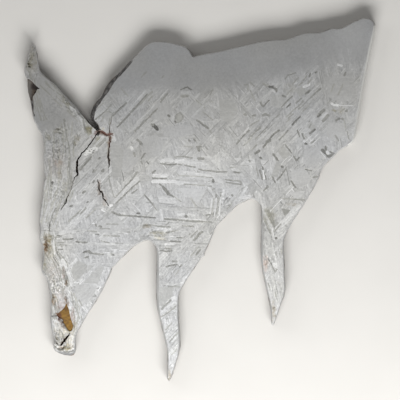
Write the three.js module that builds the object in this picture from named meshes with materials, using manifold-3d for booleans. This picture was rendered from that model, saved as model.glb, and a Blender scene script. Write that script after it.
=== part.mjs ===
// An etched slice of an iron meteorite, lying on its sawn back with the etched face up.
// It is one piece of metal: two parallel sawn faces, a natural outer skin round the edge that
// the air scooped into bays and prongs, one straight sawn end, and a few rusted fissures.
import * as THREE from "three";
import { mergeVertices } from "three/addons/utils/BufferGeometryUtils.js";
import Module from "manifold-3d";

// Driving dimensions, in millimetres.
const SLICE_LENGTH = 120; // from the sawn end's top corner to the tip of the long prong, along Y
const THICKNESS = 4.5;
const CORNER_SPACING = 1.25; // between the corners of the faceted edge
const UNDERCUT = 0.32; // how far the back stands in from the widest line, on average
const UNDERCUT_SWING = 0.2; // how much that varies along the edge
const WAVINESS = 0.14; // depth of the hollows in the natural skin
const FACE_OVERRUN = 0.5; // how far a cutting tool stands above the face that it cuts
const SLIMMEST_SHARE = 0.22; // the most of a thin prong's width that lip and undercut may take

// The outline is plotted in squares, across and down, and these rows set the size of a square.
const TOP_ROW = 18;
const BOTTOM_ROW = 381.8;
const SQUARE = SLICE_LENGTH / (BOTTOM_ROW - TOP_ROW);

// The widest line of the slice, clockwise as seen from above, in runs that meet at corners.
// Each point is [across, down, lip]. The lip is how far the etched face stands back from the
// widest line there, so that a wide lip shows a strip of the natural skin from above.
const OUTLINE = {
  hornTip: [
    [31, 46.4, 0.5],
    [32.2, 44.4, 0.5],
    [33.7, 43.8, 0.5],
    [35, 46, 0.5],
  ],
  hornInside: [
    [35, 46, 0.5],
    [36.4, 52, 0.9],
    [38.1, 61, 1],
    [39.1, 67, 1],
    [40.3, 71.4, 1],
  ],
  horn: [
    [40.3, 71.4, 1],
    [44.5, 75.8, 1.4],
    [50.2, 79.9, 1.4],
    [55.2, 83.9, 1.2],
    [59.2, 88.2, 1.2],
    [65.3, 95.2, 1.6],
    [70.4, 100.6, 1.8],
    [75.6, 105.4, 1.8],
    [79, 110, 1.6],
    [81, 112.9, 1.3],
    [86.6, 118.8, 1],
    [89.2, 122.6, 0.8],
    [93.4, 127, 0.5],
    [97, 130.6, 0.3],
  ],
  crevice: [
    [97, 130.6, 0.3],
    [98, 130.8, 0.3],
    [99.2, 129.2, 0.5],
  ],
  humpSkin: [
    [99.2, 129.2, 0.5],
    [96.6, 124.4, 1.6],
    [92.4, 120.3, 2],
    [90, 117, 4],
    [90.9, 112, 4.2],
    [93.2, 105.8, 4],
    [98, 99.5, 3.6],
    [101.8, 94.8, 3],
    [103.6, 90.2, 5.2],
    [106, 85.6, 5.4],
    [110.5, 79.8, 4.4],
    [116, 74.8, 3.6],
    [121.5, 69.5, 3.2],
    [127, 64, 2.6],
    [133, 58, 1.8],
  ],
  hump: [
    [133, 58, 1.8],
    [139, 52, 1.2],
    [144, 47, 1],
    [149.5, 43.1, 1],
    [155, 41.4, 1],
    [162, 41.3, 1],
    [170, 42.4, 1],
    [177.5, 44.3, 1],
    [183.5, 45.8, 1],
    [188, 48.5, 1.2],
    [191, 52.4, 1.4],
    [193.1, 56.6, 0.8],
  ],
  back: [
    [193.1, 56.6, 0.8],
    [204, 53.9, 1],
    [221, 50.9, 1],
    [240, 46.2, 1],
    [260, 41.9, 1],
    [272, 39.9, 1],
    [286, 39.3, 1],
    [292, 37.6, 1],
    [299, 34.5, 1],
    [308, 32.8, 1],
    [318.5, 32.7, 1],
    [324.5, 31, 1],
    [329.5, 28.7, 1],
    [335, 28, 1],
    [339.7, 28.7, 1],
    [347, 25.2, 1],
    [355.8, 20.6, 1],
    [361.5, 18.5, 1],
    [366.5, TOP_ROW, 1],
    [371.5, 19.3, 1.2],
    [374.4, 22.3, 1.6],
    [375.3, 26.4, 2],
    [374.9, 31, 2.4],
  ],
  sawnEnd: [
    [374.9, 31, 2.4],
    [370, 55, 3],
    [364, 86, 2.8],
    [360.3, 107, 2.6],
    [357.3, 127, 2.6],
  ],
  sawnCorner: [
    [357.3, 127, 2.6],
    [355.6, 136, 2.4],
    [353.9, 140.8, 2],
    [351.2, 143.4, 1.4],
  ],
  shoulder: [
    [351.2, 143.4, 1.4],
    [345.6, 147, 1.4],
    [339.8, 150.3, 1.4],
    [334.3, 155.6, 1.4],
    [329.5, 160.5, 1.4],
    [323, 167.1, 1.2],
  ],
  farProngOutside: [
    [323, 167.1, 1.2],
    [320.8, 171.4, 1.4],
    [319, 177.3, 1.4],
    [315.8, 183.9, 1.4],
    [309, 196.6, 1.4],
    [299.8, 211.2, 1.4],
    [290.2, 226.1, 1.4],
    [286.4, 233.4, 1.4],
    [284.3, 240.6, 1.6],
    [284, 251, 1.6],
    [284.8, 267, 1.6],
    [285, 277, 1.6],
    [285.6, 287.6, 1.6],
    [284.4, 294.6, 1.4],
    [280.8, 305.5, 1.2],
    [276.3, 317.8, 0.9],
    [274.3, 323.6, 0.6],
  ],
  farProngTip: [
    [274.3, 323.6, 0.6],
    [273, 325.5, 0.5],
    [271.6, 325.1, 0.5],
    [271.1, 321.8, 0.6],
  ],
  farProngInside: [
    [271.1, 321.8, 0.6],
    [271.1, 314, 0.9],
    [270, 305.6, 1.2],
    [266, 289, 1.6],
    [264.1, 279.6, 1.6],
    [262.2, 270.6, 1.6],
    [261, 262.5, 1.8],
    [260.8, 248, 1.8],
    [261.1, 224, 1.6],
    [260.9, 209.5, 1.4],
    [260.2, 205, 1.2],
    [258, 202, 1.2],
    [255.3, 199.9, 1.2],
  ],
  farBay: [
    [255.3, 199.9, 1.2],
    [252.3, 198.9, 1.2],
    [249.3, 199, 1.2],
    [243.5, 202.1, 1.2],
    [237, 205.4, 1.2],
    [231.3, 210.8, 1.2],
    [224, 218, 1.2],
    [216.6, 225.7, 1.2],
  ],
  nearProngOutside: [
    [216.6, 225.7, 1.2],
    [214.6, 230.4, 1.2],
    [210.5, 240, 1.2],
    [207, 247.4, 1.2],
    [204.2, 252.9, 1],
  ],
  burr: [
    [204.2, 252.9, 1],
    [203.9, 254.6, 0.6],
    [205.1, 257, 0.3],
    [202.7, 256.2, 0.6],
    [200.9, 257.9, 1],
  ],
  nearProngLower: [
    [200.9, 257.9, 1],
    [196.3, 265.5, 1.4],
    [188.6, 277.4, 1.4],
    [181.5, 288.6, 1.4],
    [179.3, 295.4, 1.6],
    [178.6, 308, 1.6],
    [179.2, 323, 1.6],
    [180.2, 337.5, 1.6],
    [180.1, 348.5, 1.6],
    [178, 357.5, 1.4],
    [173.8, 370, 1.2],
    [170.9, 378.4, 0.8],
  ],
  nearProngTip: [
    [170.9, 378.4, 0.8],
    [169.8, 380.8, 0.6],
    [168.2, BOTTOM_ROW, 0.5],
    [167, 380, 0.6],
    [167.1, 375, 0.8],
  ],
  nearProngInside: [
    [167.1, 375, 0.8],
    [167.4, 364, 1],
    [166.8, 351.5, 1.4],
    [164.7, 340.5, 1.6],
    [162.2, 330.2, 1.6],
    [158.4, 314.8, 2],
    [156.7, 305.5, 2.4],
    [156, 294, 2.6],
    [156.3, 272, 2.6],
    [156.3, 254, 2.4],
    [155.8, 248.3, 1.8],
    [154, 244.5, 1.4],
    [151, 241.8, 1.2],
  ],
  nearBay: [
    [151, 241.8, 1.2],
    [147.7, 240.6, 1.2],
    [144.3, 241, 1.2],
    [139, 243.5, 1.2],
    [134, 246.2, 1.2],
    [130, 249.6, 1.2],
    [124.8, 254.9, 1.2],
    [118.5, 261.4, 1.2],
    [112.3, 267.6, 1.2],
  ],
  throat: [
    [112.3, 267.6, 1.2],
    [110.7, 272.2, 1.4],
    [107, 281, 1.4],
    [101.6, 291.8, 1.4],
    [97.3, 298.6, 1.2],
    [92, 307.6, 1.2],
    [86, 317.1, 1.2],
    [80, 327.8, 1.2],
    [77.3, 332.6, 1.2],
    [76.1, 337, 1.2],
    [75.6, 343.5, 1.2],
    [75.7, 349, 1.6],
  ],
  muzzle: [
    [75.7, 349, 1.6],
    [74.9, 353, 3],
    [72.7, 355.3, 4.6],
    [68.3, 356, 4.8],
    [62.5, 354.8, 4],
    [57.5, 352.6, 2.8],
    [54.2, 350, 1.8],
    [53, 346.6, 1.2],
    [53.6, 343.2, 1.2],
    [55, 341.1, 1.2],
  ],
  jaw: [
    [55, 341.1, 1.2],
    [54.1, 338.2, 1.4],
    [52.6, 336, 1.6],
    [51.4, 331, 1.6],
    [50.3, 324, 1.4],
    [50.4, 317.5, 1],
    [50.9, 311.5, 0.8],
    [50.3, 304, 1],
    [50.2, 297, 1.4],
    [49.5, 291.4, 1.8],
  ],
  cheek: [
    [49.5, 291.4, 1.8],
    [48.2, 287, 1.8],
    [47.2, 281.8, 1.6],
    [45.4, 277.8, 2],
    [42.5, 274.1, 1.6],
    [41.1, 270, 1.6],
    [41.5, 265.4, 1.4],
    [42.7, 259, 1.2],
    [43, 253, 1.2],
    [42.4, 247.6, 1],
    [40.6, 242.8, 1],
    [39.1, 239, 1],
    [39.2, 235, 1],
    [40.1, 230.5, 1],
  ],
  brow: [
    [40.1, 230.5, 1],
    [39, 222, 1],
    [39.6, 213.5, 1],
    [41.7, 201.5, 1],
    [43.1, 188.5, 0.8],
    [43.7, 182.4, 0.8],
    [45, 178.4, 1],
    [44.9, 174.8, 0.8],
    [43.8, 169.5, 0.8],
    [43.2, 159, 0.8],
    [43.7, 149, 0.8],
    [43.2, 141.5, 0.8],
    [42.2, 136.6, 1],
    [40.8, 133, 1],
    [38, 129.8, 1],
  ],
  hornOutside: [
    [38, 129.8, 1],
    [36.5, 125.4, 1],
    [34.2, 121.7, 1],
    [33, 117.4, 0.8],
    [31.9, 112.5, 2],
    [30.8, 106.8, 2.8],
    [30.1, 101.4, 3.2],
    [28.6, 96, 3.4],
    [27.6, 90, 2.4],
    [27.2, 84, 1.4],
    [26.9, 78.7, 0.6],
  ],
  hornKnee: [
    [26.9, 78.7, 0.6],
    [25, 76.2, 0.8],
    [24, 72.8, 1],
    [24.1, 69.3, 1],
    [25.4, 65, 1],
    [28.2, 55, 1],
    [29.7, 50, 0.8],
    [31, 46.4, 0.5],
  ],
};

// The runs that a saw has cut straight down, with no hollows in them.
const SAWN_RUNS = ["sawnEnd", "sawnCorner"];

// How the side runs down from the etched face to the back: height as a share of the thickness,
// the share of the lip, and the share of the undercut that remain there.
const SIDE_PROFILE = [
  { height: 1, lip: 1, under: 0 },
  { height: 0.92, lip: 0.42, under: 0 },
  { height: 0.72, lip: 0.1, under: 0 },
  { height: 0.42, lip: 0, under: 0.05 },
  { height: 0.16, lip: 0, under: 0.4 },
  { height: 0, lip: 0, under: 1 },
];

// Fissures that run down from the etched face as narrow V grooves, with rust in them.
// Width and depth are in millimetres, and the path is in squares.
const FISSURES = {
  mainFissure: {
    width: 0.62,
    depth: 2.6,
    path: [
      [98.6, 128.2],
      [97.2, 131.6],
      [95.1, 136.2],
      [91.6, 141.8],
      [87.6, 146.8],
      [82.6, 152.4],
      [80, 156],
      [77.8, 159.4],
      [76.7, 164],
      [76.9, 170.4],
      [77.6, 173.4],
      [75.2, 177],
      [73.2, 181],
      [72.4, 185.4],
      [70, 191],
      [67.6, 196.4],
      [65.6, 202.2],
      [62.6, 206.6],
      [60.6, 210.6],
    ],
  },
  rustBranch: {
    width: 0.85,
    depth: 1.4,
    path: [
      [97.4, 130.4],
      [100.6, 130.8],
      [103.8, 132.8],
      [106.8, 134.8],
      [109.4, 134.4],
      [113, 133.2],
    ],
  },
  cheekFissure: {
    width: 0.45,
    depth: 1.2,
    path: [
      [111.6, 116],
      [110.9, 122],
      [109.6, 128],
      [109.8, 134],
      [109.8, 140],
      [109, 148],
      [108.2, 155],
      [108.6, 161],
      [108.9, 166],
      [108, 173],
    ],
  },
  innerFissure: {
    width: 0.42,
    depth: 1,
    path: [
      [97, 179],
      [98.5, 184],
      [99.3, 190],
      [102, 192.2],
      [103.1, 197.4],
      [105.8, 201],
      [109.2, 206.6],
    ],
  },
  muzzleFissure: {
    width: 0.75,
    depth: 1.8,
    path: [
      [70.4, 332.6],
      [68, 335.8],
      [65.4, 339],
      [62.8, 341.8],
      [60.6, 345.4],
    ],
  },
};

// A chip out of the horn's outer edge, down to natural skin that slopes outwards.
const CHIP = {
  innerDepth: 0.9,
  outerDepth: 2.5,
  corner: [40, 88.6],
  outline: [
    [24.5, 77.6],
    [29.4, 79],
    [32.2, 81.6],
    [35.6, 85],
    [40, 88.6],
    [37.2, 89.3],
    [35.9, 92],
    [34.4, 94.6],
    [32.9, 96.4],
    [31.8, 100.5],
    [24.5, 101],
  ],
};

// A patch on the muzzle where an inclusion has weathered out to a shallow pan of rust.
const PAN = {
  depth: 0.3,
  outline: [
    [66.4, 303.4],
    [68.6, 308.6],
    [69.8, 314],
    [71.2, 319.4],
    [73, 325],
    [72.2, 329.6],
    [70, 331.6],
    [67.2, 329],
    [64.2, 324],
    [62.2, 319.4],
    [58.6, 317.4],
    [56.6, 314.6],
    [59.8, 311.6],
    [63.4, 308.2],
  ],
};

const wasm = await Module();
wasm.setup();

// A point of the plotted outline, in millimetres, before the slice is centred.
function plot([across, down]) {
  return new THREE.Vector2(across * SQUARE, -down * SQUARE);
}

// A smooth curve through one run of the outline. Its z is the lip.
function runCurve(points) {
  const corners = points.map(
    ([across, down, lip]) =>
      new THREE.Vector3(across * SQUARE, -down * SQUARE, lip * SQUARE),
  );
  return new THREE.CatmullRomCurve3(corners, false, "centripetal");
}

// Evenly spaced stations round the whole outline, each with its place, its lip and whether
// the natural skin is there.
function walkOutline() {
  const stations = [];
  for (const [name, points] of Object.entries(OUTLINE)) {
    const curve = runCurve(points);
    const natural = !SAWN_RUNS.includes(name);
    const parts = Math.max(3, Math.round(curve.getLength() / CORNER_SPACING));
    for (const p of curve.getSpacedPoints(parts).slice(0, -1))
      stations.push({ place: new THREE.Vector2(p.x, p.y), lip: p.z, natural });
  }
  return stations;
}

// The way in from the edge at each station, square to the line through its neighbours.
// The outline runs clockwise, so inwards is to the right.
function addInwards(stations) {
  const count = stations.length;
  stations.forEach((station, i) => {
    const before = stations[(i + count - 1) % count].place;
    const after = stations[(i + 1) % count].place;
    const along = after.clone().sub(before).normalize();
    station.inwards = new THREE.Vector2(along.y, -along.x);
  });
}

// How wide the metal is at a station, so that a thin prong isn't undercut away. Only what
// lies nearly straight across counts.
function addRoom(stations) {
  const NEARLY_STRAIGHT = Math.cos(Math.PI / 4);
  for (const station of stations) {
    station.room = Infinity;
    for (const other of stations) {
      const across = other.place.clone().sub(station.place);
      const distance = across.length();
      if (across.dot(station.inwards) > NEARLY_STRAIGHT * distance)
        station.room = Math.min(station.room, distance);
    }
  }
}

// Shallow hollows and swellings of the natural skin, from -1 to 1. Each of the waves fits a
// whole number of times round the edge and leans as it goes down.
function wave(turn, height) {
  const WAVES = [
    { times: 61, lean: 0.6, share: 0.5 },
    { times: 113, lean: -1.3, share: 0.3 },
    { times: 29, lean: 0.2, share: 0.2 },
  ];
  let sum = 0;
  for (const { times, lean, share } of WAVES)
    sum += share * Math.sin(2 * Math.PI * (times * turn + lean * height));
  return sum;
}

// One ring of corners round the slice at a height given by the side's profile.
function ring(stations, level) {
  const halfway = 4 * level.height * (1 - level.height);
  return stations.map((station, i) => {
    const turn = i / stations.length;
    const most = SLIMMEST_SHARE * station.room;
    const swing = station.natural ? wave(turn, 0) : 0;
    const hollow = station.natural ? wave(turn, level.height) : 0;
    const inset =
      station.lip * level.lip +
      (UNDERCUT + UNDERCUT_SWING * swing) * level.under +
      WAVINESS * halfway * hollow;
    const place = station.place
      .clone()
      .addScaledVector(station.inwards, Math.min(inset, most));
    return new THREE.Vector3(place.x, place.y, level.height * THICKNESS);
  });
}

// The triangles of a flat face inside one ring.
function capTriangles(corners) {
  const flat = corners.map((p) => new THREE.Vector2(p.x, p.y));
  return THREE.ShapeUtils.triangulateShape(flat, []);
}

// The uncut blank: rings from the etched face down to the back, closed by two flat faces.
function blankGeometry() {
  const stations = walkOutline();
  addInwards(stations);
  addRoom(stations);
  const rings = SIDE_PROFILE.map((level) => ring(stations, level));
  const count = stations.length;
  const index = [];
  for (let r = 0; r + 1 < rings.length; r++)
    for (let i = 0; i < count; i++) {
      const upper = r * count + i;
      const upperNext = r * count + ((i + 1) % count);
      index.push(upper, upperNext, upper + count);
      index.push(upperNext, upperNext + count, upper + count);
    }
  const last = (rings.length - 1) * count;
  for (const [a, b, c] of capTriangles(rings[0])) index.push(a, b, c);
  for (const [a, b, c] of capTriangles(rings.at(-1)))
    index.push(last + a, last + c, last + b);
  const corners = rings.flat().flatMap((p) => [p.x, p.y, p.z]);
  const geometry = new THREE.BufferGeometry();
  geometry.setAttribute(
    "position",
    new THREE.Float32BufferAttribute(corners, 3),
  );
  geometry.setIndex(index);
  return geometry;
}

// The tool that cuts one fissure: a V-shaped blade that follows the path and tapers at its
// ends, where it keeps a little of its depth.
function fissureTool({ width, depth, path }) {
  const BLUNTNESS = 0.06;
  const STEPS_PER_POINT = 2;
  const curve = new THREE.SplineCurve(path.map(plot));
  const steps = path.length * STEPS_PER_POINT;
  const flare = (depth + FACE_OVERRUN) / depth;
  const top = THICKNESS + FACE_OVERRUN;
  const corners = [];
  for (let i = 0; i <= steps; i++) {
    const share = i / steps;
    const centre = curve.getPoint(share);
    const along = curve.getTangent(share);
    const arc = BLUNTNESS + (1 - 2 * BLUNTNESS) * share;
    const taper = Math.sqrt(Math.sin(Math.PI * arc));
    const half = 0.5 * width * taper * flare;
    const across = new THREE.Vector2(-along.y, along.x).multiplyScalar(half);
    corners.push(centre.x + across.x, centre.y + across.y, top);
    corners.push(centre.x - across.x, centre.y - across.y, top);
    corners.push(centre.x, centre.y, THICKNESS - depth * taper);
  }
  const index = [];
  for (let i = 0; i < steps; i++) {
    const a = 3 * i;
    for (const [p, q] of [[0, 1], [1, 2], [2, 0]]) {
      index.push(a + p, a + q, a + 3 + p);
      index.push(a + q, a + 3 + q, a + 3 + p);
    }
  }
  const end = 3 * steps;
  index.push(0, 2, 1, end, end + 1, end + 2);
  const geometry = new THREE.BufferGeometry();
  geometry.setAttribute(
    "position",
    new THREE.Float32BufferAttribute(corners, 3),
  );
  geometry.setIndex(index);
  return geometry;
}

// A straight-sided tool over a plotted area, from a floor height up past the etched face.
function panTool({ depth, outline }) {
  const CORNERS = 36;
  const rim = new THREE.SplineCurve([...outline, outline[0]].map(plot));
  const shape = new THREE.Shape(rim.getSpacedPoints(CORNERS).slice(0, -1));
  const geometry = new THREE.ExtrudeGeometry(shape, {
    depth: depth + FACE_OVERRUN,
    bevelEnabled: false,
  });
  geometry.translate(0, 0, THICKNESS - depth);
  return geometry;
}

// The tool for the chip: its floor falls away outwards, from the inner corner to the edge.
function chipTool({ innerDepth, outerDepth, corner, outline }) {
  const shape = new THREE.Shape(outline.map(plot));
  const geometry = new THREE.ExtrudeGeometry(shape, {
    depth: innerDepth + FACE_OVERRUN,
    bevelEnabled: false,
  });
  geometry.translate(0, 0, THICKNESS - innerDepth);
  const inner = plot(corner).x;
  const outer = plot(outline[0]).x;
  const position = geometry.getAttribute("position");
  for (let i = 0; i < position.count; i++) {
    if (position.getZ(i) > THICKNESS) continue;
    const share = (position.getX(i) - inner) / (outer - inner);
    const depth = innerDepth + share * (outerDepth - innerDepth);
    position.setZ(i, THICKNESS - depth);
  }
  return geometry;
}

// A closed mesh as a solid that can be cut.
function solid(geometry) {
  const bare = geometry.clone();
  bare.deleteAttribute("normal");
  bare.deleteAttribute("uv");
  const merged = mergeVertices(bare, 1e-4);
  return new wasm.Manifold(
    new wasm.Mesh({
      numProp: 3,
      vertProperties: merged.getAttribute("position").array,
      triVerts: new Uint32Array(merged.getIndex().array),
    }),
  );
}

// The geometry of a cut solid, with its box centred on the origin and its back at zero height.
function finishedGeometry(cut) {
  const mesh = cut.getMesh();
  const geometry = new THREE.BufferGeometry();
  geometry.setAttribute(
    "position",
    new THREE.BufferAttribute(new Float32Array(mesh.vertProperties), 3),
  );
  geometry.setIndex(new THREE.BufferAttribute(mesh.triVerts, 1));
  geometry.computeBoundingBox();
  const { min, max } = geometry.boundingBox;
  geometry.translate(-(min.x + max.x) / 2, -(min.y + max.y) / 2, -min.z);
  geometry.computeVertexNormals();
  return geometry;
}

// The slice, cut from the blank.
function meteoriteSlice() {
  let cut = solid(blankGeometry());
  for (const fissure of Object.values(FISSURES))
    cut = cut.subtract(solid(fissureTool(fissure)));
  cut = cut.subtract(solid(chipTool(CHIP)));
  cut = cut.subtract(solid(panTool(PAN)));
  const etchedIron = new THREE.MeshStandardMaterial({
    color: 0xb4b3af,
    metalness: 0.9,
    roughness: 0.45,
  });
  const slice = new THREE.Mesh(finishedGeometry(cut), etchedIron);
  slice.name = "meteorite_slice";
  return slice;
}

const part = new THREE.Group();
part.add(meteoriteSlice());

export default part;
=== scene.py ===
"""An etched slice of an iron meteorite, lying on a pale table under a soft light from the front.

The slice is one closed mesh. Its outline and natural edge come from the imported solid. Its etched
face is laid out here as crossing metal plates, each with its own tone and grain direction.
"""
import math
import random
from collections import namedtuple

import bmesh
import bpy
import numpy as np
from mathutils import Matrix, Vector, noise
from mathutils.geometry import delaunay_2d_cdt


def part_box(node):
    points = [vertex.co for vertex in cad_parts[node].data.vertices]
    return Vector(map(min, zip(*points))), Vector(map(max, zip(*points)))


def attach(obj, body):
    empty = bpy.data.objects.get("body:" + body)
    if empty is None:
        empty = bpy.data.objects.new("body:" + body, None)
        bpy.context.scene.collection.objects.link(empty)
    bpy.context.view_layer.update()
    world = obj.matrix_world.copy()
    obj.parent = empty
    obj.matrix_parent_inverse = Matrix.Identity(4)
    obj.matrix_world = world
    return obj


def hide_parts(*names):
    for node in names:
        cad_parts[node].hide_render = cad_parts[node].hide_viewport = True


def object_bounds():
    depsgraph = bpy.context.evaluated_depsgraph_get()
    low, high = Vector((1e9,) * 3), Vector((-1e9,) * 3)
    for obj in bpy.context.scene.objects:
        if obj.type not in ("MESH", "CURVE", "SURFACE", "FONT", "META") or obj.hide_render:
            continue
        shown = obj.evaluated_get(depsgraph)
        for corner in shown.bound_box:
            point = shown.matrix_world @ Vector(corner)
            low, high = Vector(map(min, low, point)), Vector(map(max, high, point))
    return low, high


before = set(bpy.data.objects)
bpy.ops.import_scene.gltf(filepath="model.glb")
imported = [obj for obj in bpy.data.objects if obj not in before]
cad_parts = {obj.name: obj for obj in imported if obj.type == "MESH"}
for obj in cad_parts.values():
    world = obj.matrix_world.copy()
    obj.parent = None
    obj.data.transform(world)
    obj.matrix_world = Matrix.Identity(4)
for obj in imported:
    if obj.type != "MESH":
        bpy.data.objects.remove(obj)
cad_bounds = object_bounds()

NODE = "meteorite_slice"
BODY = "root"

# The kinds of surface, numbered as the slice's materials are.
CRUST, ETCHED, SAWN, FISSURE, INCLUSION, CHIPPED, BACK = range(7)

# The pattern is plotted in squares, across and down, on the same paper as the outline. The slice
# begins at this column and row and ends at the last one.
PAPER_SIDE = 400
LEFT_COLUMN = 24.0
TOP_ROW = 18.0
BOTTOM_ROW = 381.8
node_low, node_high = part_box(NODE)
SQUARE = (node_high.y - node_low.y) / (BOTTOM_ROW - TOP_ROW)
FACE_HEIGHT = node_high.z
MILLIMETRE = 0.001


def place(across, down):
    """A plotted point as x and y in metres."""
    return (
        node_low.x + (across - LEFT_COLUMN) * SQUARE,
        node_high.y - (down - TOP_ROW) * SQUARE,
    )


def plotted(points):
    """Points in metres as plotted squares."""
    points = np.asarray(points, float)
    across = LEFT_COLUMN + (points[:, 0] - node_low.x) / SQUARE
    down = TOP_ROW + (node_high.y - points[:, 1]) / SQUARE
    return np.stack([across, down], 1)


# The four directions in which plates lie, in degrees above the across axis.
HEADINGS = {"rising": 47, "level": -3.5, "falling": -50, "steep": 102}

# Where each direction is common: a place, then how often each heading is chosen near it.
GRAINS = [
    ((105, 100), {"rising": 9, "falling": 1}),
    ((135, 125), {"rising": 8, "falling": 1, "steep": 1}),
    ((180, 105), {"rising": 4, "falling": 3, "level": 1}),
    ((175, 135), {"rising": 3, "falling": 3, "level": 2}),
    ((215, 110), {"rising": 3, "falling": 4, "steep": 2}),
    ((215, 140), {"rising": 4, "falling": 3, "steep": 3}),
    ((250, 95), {"rising": 3, "falling": 4, "steep": 3}),
    ((255, 130), {"rising": 9, "level": 1}),
    ((300, 100), {"rising": 9, "falling": 1}),
    ((285, 135), {"rising": 8, "falling": 2}),
    ((340, 85), {"rising": 7, "steep": 2}),
    ((330, 120), {"rising": 6, "steep": 4}),
    ((310, 155), {"rising": 4, "falling": 5}),
    ((265, 175), {"steep": 6, "rising": 4}),
    ((295, 190), {"rising": 4, "falling": 4, "level": 1}),
    ((240, 160), {"rising": 3, "steep": 4, "falling": 3}),
    ((190, 170), {"level": 9, "rising": 1}),
    ((225, 178), {"level": 7, "steep": 2}),
    ((185, 200), {"level": 4, "falling": 5}),
    ((225, 205), {"steep": 5, "rising": 3, "falling": 2}),
    ((125, 170), {"rising": 6, "steep": 4}),
    ((140, 200), {"rising": 5, "falling": 4}),
    ((90, 160), {"rising": 8, "level": 1}),
    ((90, 200), {"rising": 8, "steep": 1}),
    ((55, 150), {"steep": 8, "rising": 1}),
    ((50, 200), {"steep": 8, "rising": 2}),
    ((70, 240), {"level": 8, "rising": 1}),
    ((120, 230), {"level": 9}),
    ((175, 235), {"level": 9, "rising": 1}),
    ((203, 240), {"rising": 8, "level": 1}),
    ((60, 275), {"steep": 3, "falling": 5}),
    ((90, 275), {"level": 3, "rising": 3}),
    ((75, 310), {"falling": 3, "steep": 4}),
    ((175, 265), {"level": 6, "rising": 3}),
    ((168, 300), {"rising": 5, "level": 3}),
    ((172, 345), {"rising": 9}),
    ((275, 215), {"falling": 2, "steep": 5, "rising": 3}),
    ((272, 260), {"steep": 6, "falling": 2, "level": 1}),
    ((276, 300), {"steep": 7, "rising": 2}),
]

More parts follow.
